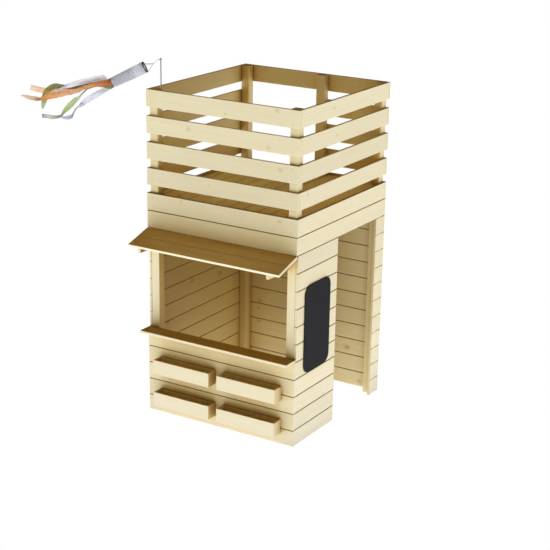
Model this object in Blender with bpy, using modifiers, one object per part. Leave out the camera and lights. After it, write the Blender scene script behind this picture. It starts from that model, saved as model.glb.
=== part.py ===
"""Shop playhouse: a boarded play shop with a serving hatch, a doorway and a railed roof deck.

Metres, +Z up. Sizes are measured from the outer front left corner of the boarding on the
ground, with X to the right along the front and Y into the depth. The empty "playhouse" moves
that corner so that the centre of the front left post's foot is the origin.
"""

import math

import bmesh
import bpy
from mathutils import Matrix, Vector

# Outside of the boarding
WIDTH = 1.112
DEPTH = 1.138
FIT = 0.0003  # gap between pieces that touch
EASE = 0.002  # eased edges of planed timber

# Tongue and groove boards
BOARD_COVER = 0.115  # height that one board covers
BOARD_THICKNESS = 0.016
WALL_ROWS = 13
COUNTER_ROWS = 5  # rows below the serving hatch
HEADER_ROWS = 2  # rows above the hatch and the doorway
GROUND_GAP = 0.007
V_CHAMFER = 0.0035
SHADOW_GAP = 0.0012  # open slit at the bottom of each V, on both faces
SHADOW_DEPTH = 0.002
TONGUE_THICKNESS = 0.0045
TONGUE_HEIGHT = 0.006
TONGUE_PLAY = 0.0005

# Posts
POST = 0.058
BACK_POST_X = 0.604  # left face of the middle post at the back
DOOR_STRIP = 0.118  # boarding between the doorway and the back
DOOR_WIDTH = 0.513

# Railing
SLAT_HEIGHT = 0.110
SLAT_COUNT = 4
FIRST_SLAT_GAP = 0.050
SLAT_GAP = 0.056

# Roof deck
DECK_DROP = 0.015  # deck surface below the top of the walls
DECK_THICKNESS = 0.019
DECK_BOARD = 0.0962
DECK_BOARD_GAP = 0.005
DECK_EDGE_GAP = 0.0082
NOTCH_PLAY = 0.003
BEARER_WIDTH = 0.045
BEARER_HEIGHT = 0.070
BEARER_SEAT = 0.002  # the bearers' tops are let into the boards by this much

# Counter and awning
COUNTER_OVERHANG = 0.098
COUNTER_THICKNESS = 0.018
AWNING_PITCH = 16.7  # degrees
AWNING_BOARD = 0.1085  # cover of each of the two boards
AWNING_THICKNESS = 0.016
BRACKET_THICKNESS = 0.018
BRACKET_SETBACK = 0.0068  # its front end lies this far behind the awning's
BRACKET_NOSE = 0.028  # height of its front end

# Display trays
TRAY_LENGTH = 0.434
TRAY_DEPTH = 0.084
TRAY_HEIGHT = 0.095
TRAY_WALL = 0.012
TRAY_MIDDLE_GAP = 0.061
TRAY_LOW_TOP = 0.176
TRAY_RISE = 0.2255

# Blackboard
SLATE_OFFSET = 0.007  # its middle lies this far behind that of the wall in front of the doorway
SLATE_BOTTOM = 0.465
SLATE_WIDTH = 0.312
SLATE_HEIGHT = 0.578
SLATE_RADIUS = 0.061
SLATE_THICKNESS = 0.006

# Ladder
LADDER_LEAN = 20.0  # degrees from upright
LADDER_DROP = 0.060  # below the deck
LADDER_WIDTH = 0.440
STILE_WIDTH = 0.070
STILE_THICKNESS = 0.028
RUNG_RADIUS = 0.014
RUNG_COUNT = 4
RUNG_RISE = 0.290
RUNG_HOUSING = 0.014

# Windsock rod and its holder, inside the front rail
ROD_FROM_POST = 0.0187
ROD_FROM_RAIL = 0.0167
ROD_RADIUS = 0.004
ROD_RISE = 0.191  # above the rail
ROD_SEAT = 0.080  # below the rail
PIN_RADIUS = 0.0025
PIN_LENGTH = 0.012
HOLDER_LEFT = 0.016  # from the rod's axis to the holder's left side
HOLDER_WIDTH = 0.046
HOLDER_DEPTH = 0.030
HOLDER_HEIGHT = 0.092
HOLDER_DROP = 0.008  # its top lies this far below the rail's top
TOE_WIDTH = 0.022
TOE_DROP = 0.012  # the toe reaches this far below the slat

# Windsock, in a frame whose X points downwind from the rod's axis
WINDSOCK_HEADING = 210.67  # degrees from +X
SLEEVE_DROOP = 26.5  # degrees below level
HOOP_FORWARD = 0.0985
HOOP_BELOW = 0.054  # the hoop's centre below the rod's tip
HOOP_RADIUS = 0.036
HOOP_WALL = 0.002
HOOP_LENGTH = 0.008
SLEEVE_LENGTH = 0.217
SLEEVE_END_RADIUS = 0.031
SLEEVE_WALL = 0.001
SLEEVE_SIDES = 36
SLEEVE_STATIONS = 10
BILLOW = 0.0018  # how far the wind swells it
FOLD_START = 0.35  # share of its length where the folds begin
FOLD_DEPTH = 0.004
CAP_RADIUS = 0.0055
CAP_HEIGHT = 0.016
EYE_RADIUS = 0.0035
EYE_WIRE = 0.001
LINE_RADIUS = 0.0012
LOOP_RADIUS = 0.004
KNOT_FORWARD = 0.047
KNOT_BELOW = 0.033
KNOT_RADIUS = 0.003
SEAM_RUN = 0.022  # the ribbons leave the sleeve straight for this far
SEAM_WIDTH = 0.026  # gathered where they are sewn on
RIBBON_WIDTH = 0.037
WIDENING = 0.050  # they spread to their full width over this length
RIBBON_THICKNESS = 0.001
RIBBON_STEPS = 4  # stations between two points of a route

# Heights and places that follow
WALL_TOP = WALL_ROWS * BOARD_COVER
COUNTER_TOP_ROW = COUNTER_ROWS * BOARD_COVER
OPENING_TOP = (WALL_ROWS - HEADER_ROWS) * BOARD_COVER
RAIL_TOP = WALL_TOP + FIRST_SLAT_GAP + SLAT_COUNT * SLAT_HEIGHT + (SLAT_COUNT - 1) * SLAT_GAP
DECK_TOP = WALL_TOP - DECK_DROP
DECK_UNDERSIDE = DECK_TOP - DECK_THICKNESS
DOOR_BACK = DEPTH - DOOR_STRIP
DOOR_FRONT = DOOR_BACK - DOOR_WIDTH
INSET = BOARD_THICKNESS + FIT  # from the outside of the boards to a post
FOOT = INSET + POST / 2
ROD_X = INSET + POST + ROD_FROM_POST
ROD_Y = INSET + ROD_FROM_RAIL
LADDER_TOP = DECK_TOP - LADDER_DROP

# Base colour, roughness and metallic value
FINISHES = {
    "pine": ((0.80, 0.66, 0.42), 0.55, 0.0),
    "pine_deck": ((0.62, 0.43, 0.22), 0.40, 0.0),
    "slate": ((0.035, 0.035, 0.037), 0.50, 0.0),
    "steel": ((0.55, 0.55, 0.57), 0.30, 1.0),
    "dark_plastic": ((0.06, 0.07, 0.09), 0.45, 0.0),
    "line": ((0.75, 0.75, 0.78), 0.60, 0.0),
    "silver_cloth": ((0.60, 0.63, 0.70), 0.35, 0.2),
    "orange_cloth": ((0.90, 0.28, 0.05), 0.60, 0.0),
    "green_cloth": ((0.42, 0.70, 0.06), 0.60, 0.0),
}

# Ribbons: finish, place round the sleeve's end in degrees from its top towards the windsock's
# left side, and a route. Each point of a route is the distance downwind of the sleeve's end,
# sideways and up, in metres, and the ribbon's twist in degrees.
RIBBONS = {
    "upper_silver_ribbon": ("silver_cloth", 0.0, (
        (0.056, 0.002, 0.028, -57), (0.112, 0.002, 0.018, -63), (0.175, 0.002, 0.004, -57),
        (0.232, 0.003, -0.012, -51), (0.279, 0.005, -0.027, -36), (0.308, 0.006, -0.038, -15),
        (0.330, 0.007, -0.049, -18), (0.358, 0.008, -0.062, -24))),
    "near_orange_ribbon": ("orange_cloth", 60.0, (
        (0.052, 0.039, 0.001, -56), (0.101, 0.042, -0.008, -44), (0.147, 0.047, -0.019, -26),
        (0.185, 0.048, -0.033, -38), (0.220, 0.048, -0.048, -38), (0.264, 0.048, -0.058, -44),
        (0.312, 0.048, -0.070, -59), (0.356, 0.046, -0.080, -62), (0.404, 0.045, -0.090, -56),
        (0.446, 0.044, -0.102, -23), (0.483, 0.043, -0.101, -35), (0.521, 0.042, -0.094, -23),
        (0.561, 0.040, -0.084, -2))),
    "near_green_ribbon": ("green_cloth", 120.0, (
        (0.056, 0.015, -0.019, -135), (0.099, 0.008, -0.023, -147), (0.140, 0.008, -0.033, -156),
        (0.170, 0.010, -0.051, -162), (0.199, 0.014, -0.080, -159), (0.229, 0.018, -0.108, -129),
        (0.260, 0.020, -0.139, -111), (0.290, 0.021, -0.172, -129), (0.315, 0.022, -0.200, -156),
        (0.344, 0.022, -0.216, -138), (0.390, 0.022, -0.217, -123), (0.440, 0.022, -0.212, -129))),
    "lower_silver_ribbon": ("silver_cloth", 180.0, (
        (0.036, -0.010, -0.041, -129), (0.071, -0.012, -0.059, -114), (0.113, -0.012, -0.084, -99),
        (0.168, -0.012, -0.117, -63), (0.200, -0.014, -0.143, -42), (0.215, -0.016, -0.155, -15),
        (0.232, -0.018, -0.170, -15), (0.247, -0.020, -0.196, -18), (0.263, -0.022, -0.221, -27),
        (0.289, -0.022, -0.230, -30), (0.331, -0.022, -0.225, 0))),
    "far_orange_ribbon": ("orange_cloth", 240.0, (
        (0.086, -0.038, -0.018, -232), (0.167, -0.048, -0.039, -229), (0.259, -0.052, -0.053, -235),
        (0.371, -0.052, -0.067, -241), (0.439, -0.050, -0.068, -238), (0.481, -0.048, -0.060, -238),
        (0.518, -0.046, -0.051, -238))),
    "far_green_ribbon": ("green_cloth", 300.0, (
        (0.086, -0.024, 0.002, -295), (0.166, -0.024, -0.018, -295), (0.243, -0.024, -0.035, -301),
        (0.294, -0.025, -0.041, -304), (0.331, -0.024, -0.036, -298), (0.367, -0.022, -0.036, -283),
        (0.399, -0.020, -0.054, -292), (0.420, -0.018, -0.083, -298), (0.428, -0.018, -0.118, -313),
        (0.435, -0.018, -0.153, -337), (0.441, -0.018, -0.177, -355))),
}


def clear_scene():
    """Removes what a new file holds, and makes the two collections."""
    for item in list(bpy.data.objects):
        bpy.data.objects.remove(item, do_unlink=True)
    for name in ("shop_playhouse", "cutters"):
        bpy.context.scene.collection.children.link(bpy.data.collections.new(name))


def finish_material(name):
    """The Principled material of that name, made on first use."""
    if name in bpy.data.materials:
        return bpy.data.materials[name]
    colour, roughness, metallic = FINISHES[name]
    material = bpy.data.materials.new(name)
    material.use_nodes = True
    shader = material.node_tree.nodes["Principled BSDF"]
    shader.inputs["Base Color"].default_value = (*colour, 1.0)
    shader.inputs["Roughness"].default_value = roughness
    shader.inputs["Metallic"].default_value = metallic
    return material


def frame(name, matrix, parent=None):
    """An empty that carries other objects."""
    empty = bpy.data.objects.new(name, None)
    bpy.data.collections["shop_playhouse"].objects.link(empty)
    empty.parent = parent
    empty.matrix_basis = matrix
    return empty


def place(name, data, finish, matrix, parent):
    """An object of the model, or a cutter where it has no finish."""
    item = bpy.data.objects.new(name, data)
    item.parent = parent
    item.matrix_basis = matrix
    if finish is None:
        bpy.data.collections["cutters"].objects.link(item)
        item.hide_render = True
        item.display_type = "WIRE"
    else:
        bpy.data.collections["shop_playhouse"].objects.link(item)
        data.materials.append(finish_material(finish))
    return item


def mesh_from(name, shape, smooth=False):
    mesh = bpy.data.meshes.new(name)
    shape.to_mesh(mesh)
    shape.free()
    if smooth:
        mesh.shade_smooth()
        mesh.set_sharp_from_angle(angle=math.radians(40))
    return mesh


def box_mesh(name, size):
    shape = bmesh.new()
    bmesh.ops.create_cube(shape, size=1.0)
    bmesh.ops.scale(shape, vec=size, verts=shape.verts)
    return mesh_from(name, shape)


def ease_edges(item, width):
    bevel = item.modifiers.new("eased edges", "BEVEL")
    bevel.width = width
    bevel.segments = 1
    bevel.limit_method = "ANGLE"


def timber(name, low, high, finish, parent, ease=EASE):
    """A squared piece between two opposite corners."""
    low, high = Vector(low), Vector(high)
    matrix = Matrix.Translation((low + high) / 2)
    item = place(name, box_mesh(name, high - low), finish, matrix, parent)
    if ease:
        ease_edges(item, ease)
    return item


def outline(name, points, length, finish, matrix, parent):
    """A flat outline in the local XY plane, made solid over a length along local Z."""
    curve = bpy.data.curves.new(name, "CURVE")
    curve.dimensions = "2D"
    curve.fill_mode = "BOTH"
    curve.extrude = length / 2
    spline = curve.splines.new("POLY")
    spline.points.add(len(points) - 1)
    for point, (x, y) in zip(spline.points, points):
        point.co = (x, y, 0.0, 1.0)
    spline.use_cyclic_u = True
    return place(name, curve, finish, matrix, parent)


def as_mesh(item):
    """Turns a curve object into a mesh object of the same name, so that it can be cut."""
    bpy.context.view_layer.update()
    evaluated = item.evaluated_get(bpy.context.evaluated_depsgraph_get())
    mesh = bpy.data.meshes.new_from_object(evaluated)
    shape = bmesh.new()
    shape.from_mesh(mesh)
    bmesh.ops.remove_doubles(shape, verts=shape.verts, dist=0.00001)
    shape.to_mesh(mesh)
    shape.free()
    name, matrix, parent = item.name, item.matrix_basis.copy(), item.parent
    collection = item.users_collection[0]
    bpy.data.objects.remove(item, do_unlink=True)
    item = bpy.data.objects.new(name, mesh)
    collection.objects.link(item)
    item.parent = parent
    item.matrix_basis = matrix
    return item


def boolean(item, operation, other):
    step = item.modifiers.new(operation.lower(), "BOOLEAN")
    step.operation = operation
    step.object = other


def cylinder(name, start, end, radius, sides, finish, parent):
    """A round bar between two points."""
    start, end = Vector(start), Vector(end)
    shape = bmesh.new()
    bmesh.ops.create_cone(
        shape, cap_ends=True, segments=sides, radius1=radius, radius2=radius, depth=(end - start).length)
    turn = (end - start).to_track_quat("Z", "Y").to_matrix().to_4x4()
    matrix = Matrix.Translation((start + end) / 2) @ turn
    return place(name, mesh_from(name, shape, smooth=True), finish, matrix, parent)


def turned(name, profile, steps, finish, matrix, parent, closed=False):
    """A profile of radius and height, from the top down its outer side, turned about local Z."""
    mesh = bpy.data.meshes.new(name)
    edges = [(i, i + 1) for i in range(len(profile) - 1)]
    if closed:
        edges.append((len(profile) - 1, 0))
    mesh.from_pydata([(radius, 0.0, height) for radius, height in profile], edges, [])
    item = place(name, mesh, finish, matrix, parent)
    screw = item.modifiers.new("turn", "SCREW")
    screw.steps = steps
    screw.render_steps = steps
    screw.use_merge_vertices = True
    screw.merge_threshold = 0.00001
    screw.use_smooth_shade = True
    return item


def ring(name, centre, axis_turn, radius, wire, finish, parent):
    """A wire ring about a point."""
    profile = [
        (radius + wire * math.cos(angle), wire * math.sin(angle))
        for angle in (math.radians(90 - 60 * side) for side in range(6))
    ]
    return turned(name, profile, 16, finish, Matrix.Translation(centre) @ axis_turn, parent, closed=True)


def board_joint(height, outwards):
    """Points of the V joint between two boards on one face, from the top down or from the bottom up."""
    face = 0.0 if outwards else BOARD_THICKNESS
    inwards = 1.0 if outwards else -1.0
    bottom = face + inwards * V_CHAMFER
    slit = bottom + inwards * SHADOW_DEPTH
    half = SHADOW_GAP / 2
    upward = [
        (face, height - V_CHAMFER - half), (bottom, height - half), (slit, height - half),
        (slit, height + half), (bottom, height + half), (face, height + V_CHAMFER + half),
    ]
    return upward[::-1] if outwards else upward


def boarding_section(first_row, last_row, tongue):
    """Cross-section of boards stacked tongue in groove: X runs inwards from the outer face, Y up."""
    bottom = max(first_row * BOARD_COVER, GROUND_GAP) + FIT / 2
    top = last_row * BOARD_COVER - FIT / 2
    middle = BOARD_THICKNESS / 2
    groove = TONGUE_THICKNESS / 2 + FIT
    groove_top = bottom + TONGUE_HEIGHT + TONGUE_PLAY
    joints = [row * BOARD_COVER for row in range(first_row + 1, last_row)]
    points = [
        (0.0, bottom + V_CHAMFER), (V_CHAMFER, bottom),
        (middle - groove, bottom), (middle - groove, groove_top),
        (middle + groove, groove_top), (middle + groove, bottom),
        (BOARD_THICKNESS - V_CHAMFER, bottom), (BOARD_THICKNESS, bottom + V_CHAMFER),
    ]
    for height in joints:
        points += board_joint(height, outwards=False)
    points += [(BOARD_THICKNESS, top - V_CHAMFER), (BOARD_THICKNESS - V_CHAMFER, top)]
    if tongue:
        half, tip = TONGUE_THICKNESS / 2, top + TONGUE_HEIGHT
        points += [(middle + half, top), (middle + half, tip), (middle - half, tip), (middle - half, top)]
    points += [(V_CHAMFER, top), (0.0, top - V_CHAMFER)]
    for height in reversed(joints):
        points += board_joint(height, outwards=True)
    return points


def wall_frame(side, start, end):
    """Frame of a stretch of wall: local X inwards from its outer face, local Y up, local Z along it."""
    middle = (start + end) / 2
    origins = {
        "front": (middle, 0.0, 0.0), "right": (WIDTH, middle, 0.0),
        "back": (middle, DEPTH, 0.0), "left": (0.0, middle, 0.0),
    }
    turns = {"front": 0.0, "right": 90.0, "back": 180.0, "left": 270.0}
    front = Matrix(((0, 0, 1), (1, 0, 0), (0, 1, 0))).to_4x4()
    return Matrix.Translation(origins[side]) @ Matrix.Rotation(math.radians(turns[side]), 4, "Z") @ front


def boards(name, side, start, end, first_row, last_row, house, tongue=False):
    """Boarding on one wall, from first_row to last_row, counted from the ground."""
    section = boarding_section(first_row, last_row, tongue)
    outline(name, section, end - start, "pine", wall_frame(side, start, end), house)


def make_boarding(house):
    """The front and back boards cover the ends of the side boards."""
    near, far = INSET, DEPTH - INSET
    top_row = WALL_ROWS - HEADER_ROWS
    boards("front_counter_boards", "front", 0.0, WIDTH, 0, COUNTER_ROWS, house)
    boards("front_header_boards", "front", 0.0, WIDTH, top_row, WALL_ROWS, house)
    boards("back_wall_boards", "back", 0.0, WIDTH, 0, WALL_ROWS, house)
    boards("left_wall_boards", "left", near, far, 0, WALL_ROWS, house)
    boards("right_wall_boards", "right", near, DOOR_FRONT, 0, top_row, house, tongue=True)
    boards("door_side_boards", "right", DOOR_BACK, far, 0, top_row, house, tongue=True)
    boards("door_header_boards", "right", near, far, top_row, WALL_ROWS, house)


def post_corners():
    """Lower left corners of the posts, seen from above."""
    right, back = WIDTH - INSET - POST, DEPTH - INSET - POST
    return {
        "front_left_post": (INSET, INSET), "front_right_post": (right, INSET),
        "back_left_post": (INSET, back), "back_right_post": (right, back),
        "back_middle_post": (BACK_POST_X, back),
    }


def make_posts(house):
    """Five posts up to the rail, and a short one beside the doorway."""
    for name, (x, y) in post_corners().items():
        timber(name, (x, y, 0.0), (x + POST, y + POST, RAIL_TOP), "pine", house)
    x = WIDTH - INSET - POST
    top = DECK_UNDERSIDE - FIT
    timber("door_post", (x, DOOR_FRONT - POST, 0.0), (x + POST, DOOR_FRONT, top), "pine", house)


def slat(name, side, start, end, number, house):
    """One railing slat in the plane of the wall below it, numbered from the bottom."""
    bottom = WALL_TOP + FIRST_SLAT_GAP + number * (SLAT_HEIGHT + SLAT_GAP)
    middle = Vector((BOARD_THICKNESS / 2, bottom + SLAT_HEIGHT / 2, 0.0))
    mesh = box_mesh(name, (BOARD_THICKNESS, SLAT_HEIGHT, end - start))
    matrix = wall_frame(side, start, end) @ Matrix.Translation(middle)
    ease_edges(place(name, mesh, "pine", matrix, house), EASE)


def make_railing(house):
    """Four slats on each side; at the back only the top one crosses the way in."""
    near, far = INSET, DEPTH - INSET
    for number in range(SLAT_COUNT):
        label = f"rail_slat_{number + 1}"
        back_start = 0.0 if number == SLAT_COUNT - 1 else BACK_POST_X
        slat(f"front_{label}", "front", 0.0, WIDTH, number, house)
        slat(f"left_{label}", "left", near, far, number, house)
        slat(f"right_{label}", "right", near, far, number, house)
        slat(f"back_{label}", "back", back_start, WIDTH, number, house)


def make_deck(house):
    """Boards laid front to back from the right wall, the last one ripped to fit, on their bearers."""
    left, right = INSET, WIDTH - INSET
    front, back = INSET, DEPTH - INSET
    edge = right - DECK_EDGE_GAP
    spare = right - left - 2 * DECK_EDGE_GAP + DECK_BOARD_GAP
    first_low, first_high = (edge - DECK_BOARD, front, DECK_UNDERSIDE), (edge, back, DECK_TOP)
    deck = timber("roof_deck", first_low, first_high, "pine_deck", house, ease=0)
    for number in range(1, math.ceil(spare / (DECK_BOARD + DECK_BOARD_GAP))):
        edge -= DECK_BOARD + DECK_BOARD_GAP
        start = max(edge - DECK_BOARD, left + DECK_EDGE_GAP)
        board_low, board_high = (start, front, DECK_UNDERSIDE), (edge, back, DECK_TOP)
        part = timber(f"deck_board_{number}", board_low, board_high, None, house, ease=0)
        boolean(deck, "UNION", part)
    for name, (x, y) in post_corners().items():
        corner_low = (x - NOTCH_PLAY, y - NOTCH_PLAY, DECK_UNDERSIDE - DECK_THICKNESS)
        corner_high = (x + POST + NOTCH_PLAY, y + POST + NOTCH_PLAY, DECK_TOP + DECK_THICKNESS)
        boolean(deck, "DIFFERENCE", timber(f"{name}_notch", corner_low, corner_high, None, house, ease=0))
    middle = (front + back) / 2
    between = (left + POST + FIT, right - POST - FIT)
    bearers = [
        (between[0], between[1], front),
        (left, right, middle),
        (between[0], BACK_POST_X - FIT, back - BEARER_WIDTH),
        (BACK_POST_X + POST + FIT, between[1], back - BEARER_WIDTH),
    ]
    low, high = DECK_UNDERSIDE - BEARER_HEIGHT, DECK_UNDERSIDE + BEARER_SEAT
    for number, (start, end, y) in enumerate(bearers):
        ends = (start, y, low), (end, y + BEARER_WIDTH, high)
        part = timber(f"bearer_{number}", *ends, None, house, ease=0)
        boolean(deck, "UNION", part)


def make_counter(house):
    """The counter lies on the top board below the hatch and meets the posts."""
    bottom = COUNTER_TOP_ROW + FIT
    top = bottom + COUNTER_THICKNESS
    timber("counter_shelf", (0.0, -COUNTER_OVERHANG, bottom), (WIDTH, BOARD_THICKNESS, top), "pine", house)


def awning_section(first, last, tongue):
    """Cross-section of one awning board: X down the slope from the wall, Y up from its underside."""
    top, middle = AWNING_THICKNESS, AWNING_THICKNESS / 2
    groove, half = TONGUE_THICKNESS / 2 + FIT, TONGUE_THICKNESS / 2
    points = [(first, 0.0)]
    if tongue:
        points += [(last, 0.0), (last, middle - half), (last + TONGUE_HEIGHT, middle - half),
                   (last + TONGUE_HEIGHT, middle + half), (last, middle + half)]
        return points + [(last, top - V_CHAMFER), (last - V_CHAMFER, top), (first, top)]
    tip = first + TONGUE_HEIGHT + TONGUE_PLAY
    points += [(last, 0.0), (last, top), (first + V_CHAMFER, top), (first, top - V_CHAMFER)]
    points += [(first, middle + groove), (tip, middle + groove)]
    return points + [(tip, middle - groove), (first, middle - groove)]


def make_awning(house):
    """Two sloping boards, tongue in groove, on two wedges screwed to the inner sides of the front posts."""
    pitch = math.radians(AWNING_PITCH)
    down_slope = Matrix(((0, 0, -1), (-1, 0, 0), (0, 1, 0))).to_4x4()
    tilt = Matrix.Rotation(pitch, 4, "X")
    top_edge = Matrix.Translation((WIDTH / 2, -FIT, OPENING_TOP)) @ tilt
    underside = top_edge @ Matrix.Translation((0, 0, -AWNING_THICKNESS))
    upper = awning_section(0.0, AWNING_BOARD - FIT / 2, tongue=True)
    lower = awning_section(AWNING_BOARD + FIT / 2, AWNING_BOARD * 2, tongue=False)
    outline("awning_upper_board", upper, WIDTH, "pine", underside @ down_slope, house)
    outline("awning_lower_board", lower, WIDTH, "pine", underside @ down_slope, house)
    reach = AWNING_BOARD * 2 * math.cos(pitch) - BRACKET_SETBACK
    at_wall = OPENING_TOP - (AWNING_THICKNESS + FIT) / math.cos(pitch)
    nose_top = at_wall - reach * math.tan(pitch)
    bottom = nose_top - BRACKET_NOSE
    back = INSET + POST
    wedge = [(-reach, bottom), (back, bottom), (back, at_wall), (0.0, at_wall), (-reach, nose_top)]
    upright = Matrix(((0, 0, 1), (1, 0, 0), (0, 1, 0))).to_4x4()
    inwards = INSET + POST + FIT + BRACKET_THICKNESS / 2
    for side, x in (("left", inwards), ("right", WIDTH - inwards)):
        matrix = Matrix.Translation((x, 0, 0)) @ upright
        outline(f"{side}_awning_bracket", wedge, BRACKET_THICKNESS, "pine", matrix, house)


def tray(name, left, top, house):
    """An open box of thin boards against the front wall."""
    shape = bmesh.new()
    bmesh.ops.create_cube(shape, size=1.0)
    bmesh.ops.scale(shape, vec=(TRAY_LENGTH, TRAY_DEPTH, TRAY_HEIGHT), verts=shape.verts)
    mouth = [face for face in shape.faces if face.normal.z > 0.5]
    bmesh.ops.delete(shape, geom=mouth, context="FACES_ONLY")
    centre = (left + TRAY_LENGTH / 2, -FIT - TRAY_DEPTH / 2, top - TRAY_HEIGHT / 2)
    item = place(name, mesh_from(name, shape), "pine", Matrix.Translation(centre), house)
    walls = item.modifiers.new("walls", "SOLIDIFY")
    walls.thickness = TRAY_WALL
    walls.offset = -1.0
    walls.use_even_offset = True
    ease_edges(item, EASE / 2)


def make_trays(house):
    left = WIDTH / 2 - TRAY_MIDDLE_GAP / 2 - TRAY_LENGTH
    right = WIDTH / 2 + TRAY_MIDDLE_GAP / 2
    for level, top in (("lower", TRAY_LOW_TOP), ("upper", TRAY_LOW_TOP + TRAY_RISE)):
        tray(f"{level}_left_tray", left, top, house)
        tray(f"{level}_right_tray", right, top, house)


def make_blackboard(house):
    """A plate with round corners on the right wall."""
    corners = [
        (SLATE_WIDTH / 2 - SLATE_RADIUS, SLATE_HEIGHT / 2 - SLATE_RADIUS, 0),
        (SLATE_RADIUS - SLATE_WIDTH / 2, SLATE_HEIGHT / 2 - SLATE_RADIUS, 90),
        (SLATE_RADIUS - SLATE_WIDTH / 2, SLATE_RADIUS - SLATE_HEIGHT / 2, 180),
        (SLATE_WIDTH / 2 - SLATE_RADIUS, SLATE_RADIUS - SLATE_HEIGHT / 2, 270),
    ]
    points = [
        (x + SLATE_RADIUS * math.cos(math.radians(start + 15 * step)),
         y + SLATE_RADIUS * math.sin(math.radians(start + 15 * step)))
        for x, y, start in corners for step in range(7)
    ]
    facing_right = Matrix(((0, 0, 1), (1, 0, 0), (0, 1, 0))).to_4x4()
    matrix = Matrix.Translation((
        WIDTH + FIT + SLATE_THICKNESS / 2, DOOR_FRONT / 2 + SLATE_OFFSET, SLATE_BOTTOM + SLATE_HEIGHT / 2))
    outline("blackboard", points, SLATE_THICKNESS, "slate", matrix @ facing_right, house)


def make_ladder(house):
    """A leaning ladder below the way in: stiles cut to the wall and the ground, rungs housed in them."""
    lean = math.tan(math.radians(LADDER_LEAN))
    across = STILE_WIDTH / math.cos(math.radians(LADDER_LEAN))
    wall = DEPTH + FIT
    foot = wall + LADDER_TOP * lean
    side = [(wall, LADDER_TOP), (wall, LADDER_TOP - across / lean), (foot - across, 0.0), (foot, 0.0)]
    upright = Matrix(((0, 0, 1), (1, 0, 0), (0, 1, 0))).to_4x4()
    centre = (INSET + POST + BACK_POST_X) / 2
    reach = LADDER_WIDTH / 2 - STILE_THICKNESS
    stiles = {}
    for name, sign in (("left", -1), ("right", 1)):
        matrix = Matrix.Translation((centre + sign * (LADDER_WIDTH - STILE_THICKNESS) / 2, 0, 0)) @ upright
        stile = outline(f"ladder_{name}_stile", side, STILE_THICKNESS, "pine", matrix, house)
        stiles[sign] = as_mesh(stile)
    for number in range(RUNG_COUNT):
        height = (number + 1) * RUNG_RISE
        y = wall + (LADDER_TOP - height) * lean - across / 2
        end = reach + RUNG_HOUSING
        left, right = (centre - end, y, height), (centre + end, y, height)
        cylinder(f"ladder_rung_{number + 1}", left, right, RUNG_RADIUS, 16, "pine", house)
        for sign, stile in stiles.items():
            socket = cylinder(
                f"rung_socket_{number + 1}_{sign}", (centre + sign * (reach - RUNG_HOUSING), y, height),
                (centre + sign * (end + FIT), y, height), RUNG_RADIUS + FIT, 16, None, house)
            boolean(stile, "DIFFERENCE", socket)


def make_rod(house):
    """The windsock's rod, shouldered to a pin at its top, and the block that holds it inside the rail."""
    foot = RAIL_TOP - ROD_SEAT
    tip = RAIL_TOP + ROD_RISE
    shoulder = tip - PIN_LENGTH
    profile = [
        (0.0, tip), (PIN_RADIUS, tip), (PIN_RADIUS, shoulder),
        (ROD_RADIUS, shoulder), (ROD_RADIUS, foot), (0.0, foot)]
    turned("windsock_rod", profile, 16, "steel", Matrix.Translation((ROD_X, ROD_Y, 0)), house)
    left, right = ROD_X - HOLDER_LEFT, ROD_X - HOLDER_LEFT + HOLDER_WIDTH
    top = RAIL_TOP - HOLDER_DROP
    bottom = top - HOLDER_HEIGHT
    toe_radius = TOE_WIDTH / 2
    toe_centre = RAIL_TOP - SLAT_HEIGHT - TOE_DROP + toe_radius
    toe = [
        (right - toe_radius + toe_radius * math.cos(math.radians(angle)),
         toe_centre - toe_radius * math.sin(math.radians(angle)))
        for angle in range(180, -1, -30)
    ]
    points = [(left, top), (left, bottom), (right - TOE_WIDTH, bottom), *toe, (right, top)]
    facing_front = Matrix(((1, 0, 0), (0, 0, -1), (0, 1, 0))).to_4x4()
    matrix = Matrix.Translation((0.0, INSET + HOLDER_DEPTH / 2, 0.0)) @ facing_front
    holder = as_mesh(outline("rod_holder", points, HOLDER_DEPTH, "pine", matrix, house))
    bore = cylinder(
        "rod_bore", (ROD_X, ROD_Y, foot - FIT), (ROD_X, ROD_Y, RAIL_TOP), ROD_RADIUS + FIT, 16, None, house)
    boolean(holder, "DIFFERENCE", bore)


def make_swivel(windsock):
    """A cap that turns on the rod's pin, with an eye on its downwind side."""
    bore = PIN_RADIUS + FIT
    bottom = FIT - PIN_LENGTH
    top = bottom + CAP_HEIGHT
    profile = [
        (0.0, top), (CAP_RADIUS * 0.6, top), (CAP_RADIUS, top - CAP_HEIGHT * 0.2),
        (CAP_RADIUS, bottom), (bore, bottom), (bore, FIT), (0.0, FIT)]
    cap = turned("swivel_cap", profile, 16, "dark_plastic", Matrix(), windsock)
    height = bottom + CAP_HEIGHT * 0.4
    eye = ring(
        "swivel_eye", (CAP_RADIUS + EYE_RADIUS * 0.7, 0, height), Matrix.Rotation(math.radians(90), 4, "X"),
        EYE_RADIUS, EYE_WIRE, None, windsock)
    boolean(cap, "UNION", eye)
    return Vector((CAP_RADIUS + EYE_RADIUS * 1.7 - EYE_WIRE, 0, height))


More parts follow.
